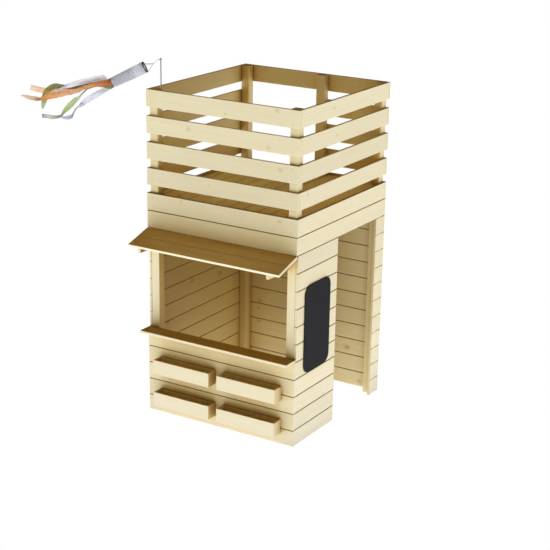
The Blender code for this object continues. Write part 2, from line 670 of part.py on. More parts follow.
def make_bridle(windsock, eye, sleeve_axis):
    """One line from the swivel's eye to a knot, and three from the knot to the hoop."""
    knot = Vector((KNOT_FORWARD, 0, -KNOT_BELOW))
    loop_centre = eye + Vector((LOOP_RADIUS - LINE_RADIUS - FIT, 0, 0))
    shape = bmesh.new()
    bmesh.ops.create_uvsphere(shape, u_segments=8, v_segments=6, radius=KNOT_RADIUS)
    matrix = Matrix.Translation(knot)
    bridle = place("bridle", mesh_from("bridle", shape, smooth=True), "line", matrix, windsock)
    loop = ring("bridle_loop", loop_centre, Matrix(), LOOP_RADIUS, LINE_RADIUS, None, windsock)
    leader_start = loop_centre + Vector((LOOP_RADIUS, 0, 0))
    boolean(bridle, "UNION", loop)
    boolean(bridle, "UNION", cylinder("leader", leader_start, knot, LINE_RADIUS, 6, None, windsock))
    rim = HOOP_RADIUS - HOOP_WALL / 2
    for number, angle in enumerate((60.0, 180.0, 300.0)):
        around = math.radians(angle)
        at_rim = Vector((-HOOP_LENGTH / 2 - FIT, rim * math.sin(around), rim * math.cos(around)))
        on_hoop = sleeve_axis @ at_rim
        back = (on_hoop - knot).normalized() * LINE_RADIUS
        line = cylinder(f"bridle_line_{number}", knot, on_hoop - back, LINE_RADIUS, 6, None, windsock)
        boolean(bridle, "UNION", line)


def make_sleeve(windsock, sleeve_axis):
    """The hoop, and the tapered sleeve behind it, which the ribbons draw into folds at its end."""
    downwind = sleeve_axis @ Matrix.Rotation(math.radians(90), 4, "Y")
    half = HOOP_LENGTH / 2
    inner = HOOP_RADIUS - HOOP_WALL
    hoop = [(HOOP_RADIUS, half), (HOOP_RADIUS, -half), (inner, -half), (inner, half)]
    turned("windsock_hoop", hoop, 24, "dark_plastic", downwind, windsock, closed=True)
    start = half + FIT
    shape = bmesh.new()
    last = None
    for station in range(SLEEVE_STATIONS + 1):
        along = station / SLEEVE_STATIONS
        crest = HOOP_RADIUS + (SLEEVE_END_RADIUS - HOOP_RADIUS) * along + BILLOW * math.sin(math.pi * along)
        fold = FOLD_DEPTH * max(0.0, (along - FOLD_START) / (1 - FOLD_START)) ** 1.5
        round_ring = []
        for side in range(SLEEVE_SIDES):
            around = math.tau * side / SLEEVE_SIDES
            radius = crest - fold * (1 - math.cos(len(RIBBONS) * around)) / 2
            at = (start + SLEEVE_LENGTH * along, radius * math.sin(around), radius * math.cos(around))
            round_ring.append(shape.verts.new(at))
        if last:
            for side in range(SLEEVE_SIDES):
                after = (side + 1) % SLEEVE_SIDES
                shape.faces.new((last[side], round_ring[side], round_ring[after], last[after]))
        last = round_ring
    mesh = mesh_from("windsock_sleeve", shape, smooth=True)
    sleeve = place("windsock_sleeve", mesh, "silver_cloth", sleeve_axis, windsock)
    cloth = sleeve.modifiers.new("cloth", "SOLIDIFY")
    cloth.thickness = SLEEVE_WALL
    cloth.offset = -1.0
    return start + SLEEVE_LENGTH


def smooth_route(points, steps):
    """Stations on a smooth curve through the points, which carry a twist as their fourth value."""
    points = [Vector(point) for point in points]
    points = [points[0] * 2 - points[1], *points, points[-1] * 2 - points[-2]]
    stations = []
    for before, start, end, after in zip(points, points[1:], points[2:], points[3:]):
        span = (end - start).to_3d().length
        leave = (end - before) * span / ((start - before).to_3d().length + span)
        arrive = (after - start) * span / ((after - end).to_3d().length + span)
        for step in range(steps):
            t = step / steps
            onwards = t * t * (3 - 2 * t)
            bend = leave * (t * (1 - t) ** 2) - arrive * (t * t * (1 - t))
            stations.append(start * (1 - onwards) + end * onwards + bend)
    stations.append(points[-2])
    return stations


def ribbon(name, finish, route, windsock):
    """A strip of cloth along a route, whose width direction turns with its twist."""
    stations = smooth_route(route, RIBBON_STEPS)
    centres = [station.to_3d() for station in stations]
    shape = bmesh.new()
    last = None
    for number, station in enumerate(stations):
        ahead = centres[min(number + 1, len(centres) - 1)] - centres[max(number - 1, 0)]
        sideways = Vector((0, 1, 0)) - ahead * (ahead.y / ahead.length_squared)
        sideways.rotate(Matrix.Rotation(math.radians(station.w), 3, ahead))
        spread = min(1.0, (centres[number] - centres[0]).length / WIDENING)
        half = sideways.normalized() * (SEAM_WIDTH + (RIBBON_WIDTH - SEAM_WIDTH) * spread) / 2
        pair = [shape.verts.new(centres[number] - half), shape.verts.new(centres[number] + half)]
        if last:
            shape.faces.new((last[0], pair[0], pair[1], last[1]))
        last = pair
    item = place(name, mesh_from(name, shape, smooth=True), finish, Matrix(), windsock)
    cloth = item.modifiers.new("cloth", "SOLIDIFY")
    cloth.thickness = RIBBON_THICKNESS
    cloth.offset = 0.0


def make_ribbons(windsock, sleeve_axis, sleeve_end):
    """Six ribbons sewn round the end of the sleeve, blown out downwind."""
    centre = sleeve_axis @ Vector((sleeve_end, 0, 0))
    radius = SLEEVE_END_RADIUS - SLEEVE_WALL / 2
    seam = sleeve_end + FIT
    for name, (finish, angle, points) in RIBBONS.items():
        around = math.radians(angle)
        route = []
        for along in (seam, seam + SEAM_RUN / 2, seam + SEAM_RUN):
            at = sleeve_axis @ Vector((along, radius * math.sin(around), radius * math.cos(around)))
            route.append((*at, -angle))
        route += [(centre.x + x, centre.y + y, centre.z + z, twist) for x, y, z, twist in points]
        ribbon(name, finish, route, windsock)


def make_windsock(house):
    """All that turns about the rod: swivel, bridle, hoop, sleeve and ribbons."""
    turn = Matrix.Rotation(math.radians(WINDSOCK_HEADING), 4, "Z")
    windsock = frame("windsock", Matrix.Translation((ROD_X, ROD_Y, RAIL_TOP + ROD_RISE)) @ turn, house)
    droop = Matrix.Rotation(math.radians(SLEEVE_DROOP), 4, "Y")
    sleeve_axis = Matrix.Translation((HOOP_FORWARD, 0, -HOOP_BELOW)) @ droop
    eye = make_swivel(windsock)
    make_bridle(windsock, eye, sleeve_axis)
    sleeve_end = make_sleeve(windsock, sleeve_axis)
    make_ribbons(windsock, sleeve_axis, sleeve_end)


def main():
    clear_scene()
    house = frame("playhouse", Matrix.Translation((-FOOT, -FOOT, 0.0)))
    make_posts(house)
    make_boarding(house)
    make_railing(house)
    make_deck(house)
    make_counter(house)
    make_awning(house)
    make_trays(house)
    make_blackboard(house)
    make_ladder(house)
    make_rod(house)
    make_windsock(house)


main()
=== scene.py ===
"""Shop playhouse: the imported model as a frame, with its materials, windsock cloth and screws.

Metres, +Z up, the front towards -Y. The boarding's outer front left corner on the ground lies at
(HOUSE_X, HOUSE_Y, 0).
"""

import math
import bpy
from mathutils import Matrix, Vector, noise


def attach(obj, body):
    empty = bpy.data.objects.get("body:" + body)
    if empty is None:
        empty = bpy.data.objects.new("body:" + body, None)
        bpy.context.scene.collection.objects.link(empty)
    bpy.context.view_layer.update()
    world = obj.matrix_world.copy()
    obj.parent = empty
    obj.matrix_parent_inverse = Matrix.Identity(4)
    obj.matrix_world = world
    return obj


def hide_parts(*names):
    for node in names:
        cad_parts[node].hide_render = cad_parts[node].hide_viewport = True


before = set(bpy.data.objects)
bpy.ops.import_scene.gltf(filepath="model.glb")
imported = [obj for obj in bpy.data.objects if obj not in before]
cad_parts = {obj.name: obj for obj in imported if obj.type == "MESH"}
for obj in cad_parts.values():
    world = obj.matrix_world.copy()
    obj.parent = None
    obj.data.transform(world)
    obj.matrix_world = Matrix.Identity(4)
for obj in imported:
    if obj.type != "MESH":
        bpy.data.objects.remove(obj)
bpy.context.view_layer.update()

# The house, in the frame's coordinates
HOUSE_X = HOUSE_Y = -0.0453
WIDTH = 1.112
DEPTH = 1.138
MIDDLE_X = HOUSE_X + WIDTH / 2
MIDDLE_Y = HOUSE_Y + DEPTH / 2
BOARD = 0.115
WALL_ROWS = 13
COUNTER_ROWS = 5
OPENING_ROWS = 11  # rows below the tops of the front opening and the doorway
POST_CENTRE = 0.0453
DOOR_POST_HALF = 0.029
BACK_POST_CENTRE = 0.633
SLAT_TOPS = (1.655, 1.821, 1.987, 2.153)
SLAT_HEIGHT = 0.110
SLAT_GAP = 0.056
DECK_TOP = 1.480
DECK_PITCH = 0.1012
DECK_START = 0.0369
DOOR_FRONT = 0.507
TRAY_LENGTH = 0.434
TRAY_DEPTH = 0.084
TRAY_WALL = 0.012
TRAY_RISE = 0.2255
TRAY_START = 0.05
TRAY_GAP = 0.061
TRAY_MIDDLE = TRAY_GAP / 2 + TRAY_LENGTH / 2
AWNING_SEAM = -0.1492  # Y of the joint between its two boards
TONE_PITCH = 0.2  # heights at which the timber of the counter and the awning changes tone
TONE_START = 0.1

# Screws: distance from a board's middle, and a head's outline as radius and height
SCREW_SPREAD = 0.030
SCREW_SIDES = 10
SCREW_HEAD = (
    (0.0034, 0.00005), (0.0032, 0.00028), (0.0026, 0.00038), (0.0014, 0.00038), (0.0010, 0.00015))
RECESS_HEIGHT = 0.0001

# The windsock turns about the rod's tip; its X points downwind
WINDSOCK = Matrix.Translation((0.0477, -0.0123, 2.344)) @ Matrix.Rotation(
    math.radians(210.67), 4, "Z")
SLEEVE_AXIS = Matrix.Translation((0.0985, 0, -0.054)) @ Matrix.Rotation(
    math.radians(26.5), 4, "Y")
SLEEVE_PLACE = WINDSOCK @ SLEEVE_AXIS
SLEEVE_TURN = SLEEVE_PLACE.to_3x3()
HOOP_RADIUS = 0.036
SLEEVE_START = 0.0043
SLEEVE_LENGTH = 0.217
SLEEVE_END = SLEEVE_START + SLEEVE_LENGTH
SLEEVE_END_RADIUS = 0.031
SLEEVE_INSET = 0.0006
SLEEVE_ROWS = 61
SLEEVE_SIDES = 120
BILLOW = 0.0018
FOLDS = 6
FOLD_START = 0.35
FOLD_DEPTH = 0.004
CREASE_DEPTH = 0.0010
FINE_CREASE_DEPTH = 0.0005
TAUT_SHARE = 0.12  # creases fade out over this share of the length at both ends

# Hems: two shares of the sleeve's length, rows of vertices, and height of the puckers
MOUTH_HEM = (0.004, 0.085, 6, 0.00018)
TAIL_HEM = (0.952, 0.996, 4, 0.00015)
HEM_PROUD = 0.0005
HEM_EDGE = 0.35  # share of that height which is left at a hem's edges
HEM_SIDES = 96
PUCKERS_ROUND = 40

# Stitches: rows as a share of the sleeve's length and a count, and heights above its cloth
HEM_STITCHES = ((0.018, 90), (0.074, 90), (0.962, 70))
HEM_STITCH_LIFT = 0.0011
SEAM_ANGLE = 205
SEAM_FROM = 0.10
SEAM_SHARE = 0.84
SEAM_STITCHES = 70
SEAM_STITCH_LIFT = 0.0006
STITCH_LENGTH = 0.0018
STITCH_HEIGHT = 0.0003
STITCH_REACH = STITCH_HEIGHT * 0.8  # to each side of its middle
STITCH_OUTLINE = ((-0.5, 0.0), (-0.22, 1.0), (0.22, 1.0), (0.5, 0.0))
THREAD_THICKNESS = 0.00012

# Ribbons: their seam at the sleeve's end, their width, and how they cup and flutter when free
RIBBON_GAP = 0.0003
RIBBON_SEAT = 0.0005
SEAM_RUN = 0.022
SEAM_WIDTH = 0.026
RIBBON_WIDTH = 0.037
WIDENING = 0.050
RIBBON_STEPS = 12
RIBBON_COLUMNS = 9
FREE_AFTER = 0.08
CUP_DEPTH = 0.0030
CUP_WAVES = 31.0
CUP_LEVEL = 0.4
FLUTTER_DEPTH = 0.0011
FLUTTER_WAVES = 118.0
FLUTTER_TURN = 0.7

# Ribbons: place round the sleeve's end, and a route of distance downwind, sideways, up, twist
RIBBONS = {
    "upper_silver_ribbon": (0.0, (
        (0.056, 0.002, 0.028, -57), (0.112, 0.002, 0.018, -63), (0.175, 0.002, 0.004, -57),
        (0.232, 0.003, -0.012, -51), (0.279, 0.005, -0.027, -36), (0.308, 0.006, -0.038, -15),
        (0.330, 0.007, -0.049, -18), (0.358, 0.008, -0.062, -24))),
    "near_orange_ribbon": (60.0, (
        (0.052, 0.039, 0.001, -56), (0.101, 0.042, -0.008, -44), (0.147, 0.047, -0.019, -26),
        (0.185, 0.048, -0.033, -38), (0.220, 0.048, -0.048, -38), (0.264, 0.048, -0.058, -44),
        (0.312, 0.048, -0.070, -59), (0.356, 0.046, -0.080, -62), (0.404, 0.045, -0.090, -56),
        (0.446, 0.044, -0.102, -23), (0.483, 0.043, -0.101, -35), (0.521, 0.042, -0.094, -23),
        (0.561, 0.040, -0.084, -2))),
    "near_green_ribbon": (120.0, (
        (0.056, 0.015, -0.019, -135), (0.099, 0.008, -0.023, -147), (0.140, 0.008, -0.033, -156),
        (0.170, 0.010, -0.051, -162), (0.199, 0.014, -0.080, -159), (0.229, 0.018, -0.108, -129),
        (0.260, 0.020, -0.139, -111), (0.290, 0.021, -0.172, -129), (0.315, 0.022, -0.200, -156),
        (0.344, 0.022, -0.216, -138), (0.390, 0.022, -0.217, -123), (0.440, 0.022, -0.212, -129))),
    "lower_silver_ribbon": (180.0, (
        (0.036, -0.010, -0.041, -129), (0.071, -0.012, -0.059, -114), (0.113, -0.012, -0.084, -99),
        (0.168, -0.012, -0.117, -63), (0.200, -0.014, -0.143, -42), (0.215, -0.016, -0.155, -15),
        (0.232, -0.018, -0.170, -15), (0.247, -0.020, -0.196, -18), (0.263, -0.022, -0.221, -27),
        (0.289, -0.022, -0.230, -30), (0.331, -0.022, -0.225, 0))),
    "far_orange_ribbon": (240.0, (
        (0.086, -0.038, -0.018, -232), (0.167, -0.048, -0.039, -229), (0.259, -0.052, -0.053, -235),
        (0.371, -0.052, -0.067, -241), (0.439, -0.050, -0.068, -238), (0.481, -0.048, -0.060, -238),
        (0.518, -0.046, -0.051, -238))),
    "far_green_ribbon": (300.0, (
        (0.086, -0.024, 0.002, -295), (0.166, -0.024, -0.018, -295), (0.243, -0.024, -0.035, -301),
        (0.294, -0.025, -0.041, -304), (0.331, -0.024, -0.036, -298), (0.367, -0.022, -0.036, -283),
        (0.399, -0.020, -0.054, -290), (0.420, -0.018, -0.083, -290), (0.428, -0.018, -0.118, -300),
        (0.435, -0.018, -0.153, -326), (0.441, -0.018, -0.177, -352))),
}

# Cloth of each ribbon: colours along its run with painted light and shade, opacity, light let
# through, painted shade of creases, and how dark the painted shade of soft folds gets
CLOTHS = {
    "upper_silver_ribbon": (
        ((0.0, (0.62, 0.62, 0.64)), (0.035, (0.78, 0.82, 0.88)), (0.055, (0.96, 1.0, 1.0)),
         (0.26, (0.98, 1.0, 1.0)), (0.31, (0.52, 0.54, 0.52)), (0.37, (0.54, 0.49, 0.45))),
        0.84, 0.96,
        ((0.043, 0.8, 0.006, 0.24), (0.290, -0.8, 0.009, 0.34), (0.345, 0.6, 0.008, 0.28)), 0.98),
    "near_orange_ribbon": (
        ((0.0, (0.50, 0.17, 0.04)), (0.03, (0.94, 0.32, 0.09)), (0.09, (0.88, 0.35, 0.12)),
         (0.15, (1.0, 0.48, 0.19)), (0.20, (0.84, 0.44, 0.20)), (0.24, (0.94, 0.54, 0.29)),
         (0.42, (1.0, 0.42, 0.13)), (0.465, (0.48, 0.20, 0.07)), (0.50, (0.72, 0.48, 0.24)),
         (0.58, (0.72, 0.56, 0.40))),
        0.90, 0.66,
        ((0.175, 1.2, 0.009, 0.28), (0.245, -1.1, 0.009, 0.24), (0.345, -1.0, 0.008, 0.24))),
    "near_green_ribbon": (
        ((0.0, (0.30, 0.29, 0.15)), (0.05, (0.42, 0.34, 0.17)), (0.19, (0.40, 0.42, 0.30)),
         (0.24, (0.70, 0.84, 0.48)), (0.37, (0.60, 0.82, 0.26)), (0.41, (0.40, 0.46, 0.36)),
         (0.485, (0.88, 1.0, 0.82)), (0.53, (0.31, 0.43, 0.24))),
        0.86, 0.70, ((0.405, 0.8, 0.009, 0.26), (0.455, -0.9, 0.008, 0.22))),
    "lower_silver_ribbon": (
        ((0.0, (0.94, 0.96, 0.94)), (0.08, (0.80, 0.86, 0.88)), (0.15, (0.90, 0.96, 1.0)),
         (0.22, (0.92, 0.92, 1.0)), (0.25, (0.62, 0.64, 0.74)), (0.30, (0.60, 0.60, 0.72)),
         (0.34, (0.40, 0.43, 0.52)), (0.40, (0.46, 0.52, 0.56))),
        0.84, 0.66, ((0.240, 0.7, 0.009, 0.36), (0.345, -0.8, 0.009, 0.26))),
    "far_orange_ribbon": (
        ((0.0, (0.60, 0.20, 0.05)), (0.36, (0.86, 0.36, 0.12)), (0.43, (0.94, 0.54, 0.18)),
         (0.47, (1.0, 0.64, 0.34)), (0.52, (0.86, 0.62, 0.42))),
        0.80, 0.70, ((0.452, 0.5, 0.004, 0.15),)),
    "far_green_ribbon": (
        ((0.0, (0.22, 0.27, 0.10)), (0.30, (0.23, 0.29, 0.06)), (0.37, (0.39, 0.44, 0.12)),
         (0.42, (0.44, 0.48, 0.14)), (0.46, (0.16, 0.20, 0.02)), (0.485, (0.40, 0.50, 0.12)),
         (0.515, (0.62, 0.80, 0.36))),
        0.88, 0.66, ((0.330, 0.9, 0.006, 0.30),)),
}
WEAVE = 1400.0  # waves of warp and weft to the metre
RIPSTOP = 170.0  # squares between heavier threads to the metre

# Camera: the photograph's view
CAMERA_PLACE = (5.3265, -7.2839, 3.8794)
CAMERA_TURN = (1.218754, -0.020343, 0.543258)
CAMERA_LENS = 95.492
CAMERA_SENSOR = 36.0
CAMERA_SHIFT = (-0.02727, 0.10000)

# Light: the open floor, the floor by the walls and under the house, the horizon and the sky
FLOOR_STRENGTH = 1.83
FLOOR_AT_WALL = 0.90
FLOOR_LIGHT = (1.0, 1.05, 1.42)
HORIZON_STRENGTH = 1.45
HORIZON_LIGHT = (1.0, 0.97, 0.88)
HORIZON_RISE = (-0.85, -0.12)  # from -1, straight down, to 1, straight up
UNDER_HOUSE = (0.55, 1.15)  # strength at its left and its right side
SKY_STRENGTH = 0.15
SKY_LIGHT = (1.0, 0.60, 0.20)
SKY_RISE = (-0.02, 0.10)
WHITE = (1.0, 1.0, 1.0)
BLACK = (0.0, 0.0, 0.0)
GREY = (0.5, 0.5, 0.5)
FLOOR_REACH = 60.0
FLOOR_LEVEL = -0.0006
NEAR_FLOOR_LEVEL = -0.0003
NEAR_FLOOR_MARGIN = 0.5
HOUSE_EDGE = -0.02  # the floor counts as under the house from this far inside its outline

# Timber: own colours, painted shade on tops, inner faces, shelter and meetings, joints and knots
PALE_WOOD = (0.885, 0.825, 0.510)
WARM_WOOD = (0.790, 0.665, 0.350)
MELLOW_WOOD = (0.850, 0.765, 0.485)
# Faces that look up: the colours of their painted shade, and how much less rough they are
UPWARD_SHADE_PALE = (0.700, 0.490, 0.170)
UPWARD_SHADE_DEEP = (0.570, 0.365, 0.105)
OIL_SHINE = 0.18
# Faces towards the inside: painted shade low and high in the cabin, lighter painted shade on the
# railing and by the doorway, and the height where the railing's painted shade begins
INNER_LOW = (0.84, 0.71, 0.40)
INNER_HIGH = (0.34, 0.200, 0.034)
INNER_RAIL = (1.04, 0.94, 0.63)
INNER_DOORWAY = (1.0, 1.02, 0.88)
RAIL_TINT_FROM = DECK_TOP - 0.03  # height where the railing's tint of inner faces begins
# Painted shade in sheltered places: its reach, and the tints of shallow and deep shelter
SHELTER_REACH = 0.25
SHELTER_SHADE = (0.75, 0.60, 0.29)
DEEP_SHELTER_SHADE = (0.42, 0.30, 0.12)
# Painted shade where two pieces meet, and along the awning's joint
MEETING_REACH = 0.016
MEETING_SHADE = (0.62, 0.52, 0.34)
SEAM_LINE_SHADE = (0.74, 0.68, 0.54)
WALL_JOINTS = 0.86
JOINT = (0.200, 0.120, 0.045)
# TRAY_LIGHT takes part of the painted shelter shade off the trays' inner faces, as painted light
TRAY_LIGHT = 0.76
TRAY_SLACK = 0.0005
AXES = {"X": 0, "Y": 1, "Z": 2, "deck": 1}  # the axis that each grain runs along
SIDE_SPLIT = 0.50  # pieces beyond this X or Y have another tone than those before it
RINGS = 62.0  # growth rings to the metre
RING_MIDDLE = 0.45  # the palest place across a ring
PITH_WANDER = 0.10
WANDER_SCALE = 2.6
STREAK_SCALE = 38.0
BROAD_SCALE = 9.0
FINE_SCALE = 420.0
GRAIN_STRETCH = 0.07
BOARD_SHIFT = 7.0
KNOT_SQUEEZE = 0.75
KNOT_ZONES = (
    (0.9, 2.2, (0.93, 0.89, 0.80)), (0.55, 1.15, (0.86, 0.80, 0.67)),
    (0.0, 0.40, (0.84, 0.77, 0.64)))
BOLD_KNOTS = ("left", "back")
FAINT_KNOTS = 0.6  # strength of the others

# Other materials: pairs of tones, and a tone that dulls the steel
SLATE = ((0.0175, 0.0178, 0.0180), (0.10, 0.10, 0.10))
STEEL = ((0.300, 0.270, 0.290), (0.420, 0.385, 0.410))
STEEL_DULL = (0.24, 0.21, 0.23)
ZINC = ((0.72, 0.64, 0.42), (0.58, 0.49, 0.29))
DARK_PLASTIC = ((0.040, 0.050, 0.062), (0.080, 0.092, 0.108))
GREY_PLASTIC = ((0.36, 0.34, 0.36), (0.46, 0.43, 0.45))
LINE = ((0.34, 0.34, 0.38), (0.20, 0.20, 0.24))
LINE_TURNS = 2600.0

# Knots in the visible faces: place and radius
KNOTS = {
    "front": (
        (0.910, -0.045, 2.133, 0.011), (0.545, -0.045, 2.070, 0.006), (0.274, -0.045, 1.940, 0.010),
        (0.852, -0.045, 1.904, 0.010), (0.938, -0.045, 1.781, 0.012), (0.939, -0.045, 1.463, 0.010),
        (0.216, -0.045, 1.475, 0.007), (0.430, -0.045, 1.610, 0.005),
        (0.700, -0.045, 0.130, 0.006)),
    "right": (
        (1.067, 0.361, 2.104, 0.009), (1.067, 0.406, 1.927, 0.008), (1.067, 0.066, 1.628, 0.010),
        (1.067, 0.930, 1.760, 0.006), (1.067, 0.320, 0.250, 0.007)),
    "left": (
        (-0.029, 0.427, 0.782, 0.012), (-0.029, 0.148, 0.565, 0.012), (-0.029, 0.769, 0.743, 0.016),
        (-0.045, 0.300, 1.190, 0.010), (-0.045, 0.810, 0.520, 0.012),
        (-0.045, 0.210, 2.100, 0.009)),
    "back": (
        (0.106, 1.077, 0.479, 0.013), (0.098, 1.077, 0.423, 0.009), (0.101, 1.077, 0.325, 0.010),
        (0.826, 1.077, 0.279, 0.016), (0.932, 1.077, 0.046, 0.013), (0.300, 1.093, 1.080, 0.012),
        (0.720, 1.093, 0.850, 0.010), (0.450, 1.093, 1.780, 0.010)),
    "deck": ((0.420, 0.250, 1.480, 0.010), (0.760, 0.700, 1.480, 0.012)),
    "plain": (),
}


def camera():
    """The photograph's view."""
    data = bpy.data.cameras.new("camera")
    data.sensor_width = CAMERA_SENSOR
    data.lens = CAMERA_LENS
    data.shift_x, data.shift_y = CAMERA_SHIFT
    item = bpy.data.objects.new("camera", data)
    item.location = CAMERA_PLACE
    item.rotation_euler = CAMERA_TURN
    bpy.context.collection.objects.link(item)
    bpy.context.scene.camera = item


class Nodes:
    """A material's node tree, built by short calls. A value is a number, a tuple or an output."""

    def __init__(self, name):
        self.material = bpy.data.materials.new(name)
        self.material.use_nodes = True
        self.tree = self.material.node_tree
        self.shader = self.tree.nodes["Principled BSDF"]
        self.output = self.tree.nodes["Material Output"]

    def add(self, kind, inputs=(), **settings):
        node = self.tree.nodes.new("ShaderNode" + kind)
        for key, value in settings.items():
            setattr(node, key, value)
        for key, value in dict(inputs).items():
            self.feed(node.inputs[key], value)
        return node

    def feed(self, socket, value):
        if isinstance(value, bpy.types.NodeSocket):
            self.tree.links.new(value, socket)
        elif socket.type == "RGBA":
            socket.default_value = (*value, 1.0)
        else:
            socket.default_value = value

    def math(self, operation, first, second=0.0, clamp=False):
        inputs = {0: first, 1: second}
        return self.add("Math", inputs, operation=operation, use_clamp=clamp).outputs[0]

    def plus(self, first, second):
        return self.math("ADD", first, second)

    def minus(self, first, second):
        return self.math("SUBTRACT", first, second)

    def times(self, first, second, clamp=False):
        return self.math("MULTIPLY", first, second, clamp)

    def apart(self, first, second):
        """The distance between two numbers."""
        return self.math("ABSOLUTE", self.minus(first, second))

    def vector(self, operation, first, second=BLACK):
        node = self.add("VectorMath", {0: first, 1: second}, operation=operation)
        return node.outputs["Value" if operation == "LENGTH" else "Vector"]

    def scale(self, vector, factors):
        return self.vector("MULTIPLY", vector, factors)

    def xyz(self, vector):
        return self.add("SeparateXYZ", {0: vector}).outputs

    def join(self, x, y, z):
        return self.add("CombineXYZ", {0: x, 1: y, 2: z}).outputs[0]

    def place(self):
        """Coordinates of the object."""
        return self.add("TexCoord").outputs["Object"]

    def span(self, value, low, high, start=0.0, end=1.0, smooth=False):
        """value from low..high to start..end, held at both ends."""
        kind = "SMOOTHSTEP" if smooth else "LINEAR"
        inputs = {0: value, 1: low, 2: high, 3: start, 4: end}
        return self.add("MapRange", inputs, interpolation_type=kind).outputs[0]

    def noise(self, vector, scale, detail=3.0, rough=0.5):
        inputs = {"Vector": vector, "Scale": scale, "Detail": detail, "Roughness": rough}
        return self.add("TexNoise", inputs).outputs[0]

    def blend(self, factor, first, second, kind="MIX"):
        inputs = {0: factor, 6: first, 7: second}
        return self.add("Mix", data_type="RGBA", blend_type=kind, inputs=inputs).outputs[2]

    def tint(self, factor, base, shade):
        """base, multiplied by the shade as far as the factor says."""
        return self.blend(factor, base, shade, "MULTIPLY")

    def dim(self, base, factor):
        """A colour times one number."""
        return self.scale(base, self.join(factor, factor, factor))

    def shelter(self, reach):
        """0 on an open face, towards 1 in corners and between pieces that stand close together."""
        occlusion = self.add("AmbientOcclusion", {"Distance": reach}, samples=4)
        return self.math("SUBTRACT", 1.0, occlusion.outputs["AO"], clamp=True)

    def settle(self, values):
        """Feeds the shader's sockets by name."""
        for key, value in values.items():
            self.feed(self.shader.inputs[key], value)

    def surface(self, base, rough, relief, others=()):
        """The shader's colour, roughness and bump. relief is height, strength and distance."""
        inputs = dict(zip(("Height", "Strength", "Distance"), relief))
        self.settle({
            "Base Color": base, "Roughness": rough,
            "Normal": self.add("Bump", inputs).outputs[0], **dict(others)})
        return self.material


def board_grain(n, x, y, z, place, grain, pitch, start):
    """Coordinates drawn out along the grain, how far each board moves them, and its tone."""
    row = 0.0
    if pitch:
        along = x if grain == "deck" else z
        row = n.math("FLOOR", n.math("DIVIDE", n.minus(along, start), pitch))
    side_x = n.math("GREATER_THAN", x, SIDE_SPLIT)
    side_y = n.math("GREATER_THAN", y, SIDE_SPLIT)
    key = {
        "X": (row, side_y, 0.31), "Y": (row, side_x, 0.57), "Z": (side_x, side_y, 0.43),
        "deck": (row, 0.17, 0.83)}[grain]
    board = n.add("TexWhiteNoise", {"Vector": n.join(*key)}, noise_dimensions="3D").outputs
    shift = n.scale(board["Color"], (BOARD_SHIFT,) * 3)
    stretch = [1.0, 1.0, 1.0]
    stretch[AXES[grain]] = GRAIN_STRETCH
    return n.vector("ADD", n.scale(place, tuple(stretch)), shift), shift, board["Value"]


def add_knots(n, base, place, grain, side, streak):
    """base with the knots of one side: a halo, a ring and a core, drawn out along the grain."""
    squeeze = tuple(KNOT_SQUEEZE if axis == AXES[grain] else 1.0 for axis in range(3))
    depth = 1.0 if side in BOLD_KNOTS else FAINT_KNOTS
    for kx, ky, kz, radius in KNOTS[side]:
        away = n.vector("LENGTH", n.scale(n.vector("SUBTRACT", place, (kx, ky, kz)), squeeze))
        away = n.plus(away, n.times(n.minus(streak, 0.5), radius * 0.5))
        for full, gone, shade in KNOT_ZONES:
            share = n.span(away, radius * full, radius * gone, depth, 0.0, smooth=True)
            base = n.tint(share, base, shade)
    return base


def tint_inside(n, base, x, y, z, facing, inner):
    """base, darker on faces towards the inside.

    This is painted shade: light at the cabin's foot, where light from the ground reaches,
    and dark towards its top, where little does; lighter on the railing and by the doorway.
    """
    inwards = n.plus(
        n.times(facing[0], n.minus(MIDDLE_X, x)), n.times(facing[1], n.minus(MIDDLE_Y, y)))
    inner_shade = n.blend(n.span(z, 0.20, 1.30), INNER_LOW, INNER_HIGH)
    inner_shade = n.scale(inner_shade, inner)
    inner_shade = n.blend(n.span(x, 0.62, 0.92, 0.0, 0.50), inner_shade, INNER_DOORWAY)
    inner_shade = n.blend(n.math("GREATER_THAN", z, RAIL_TINT_FROM), inner_shade, INNER_RAIL)
    return n.tint(n.span(inwards, 0.30, 0.42), base, inner_shade)


def inside_trays(n, x, y, facing):
    """1 on the trays' inner faces, 0 elsewhere."""
    ends = n.apart(n.apart(x, MIDDLE_X), TRAY_MIDDLE)
    deep = n.apart(y, HOUSE_Y - TRAY_DEPTH / 2)
    within = n.times(
        n.math("LESS_THAN", ends, TRAY_LENGTH / 2 - TRAY_WALL + TRAY_SLACK),
        n.math("LESS_THAN", deep, TRAY_DEPTH / 2 - TRAY_WALL + TRAY_SLACK))
    return n.times(within, n.math("GREATER_THAN", facing[2], -0.5))


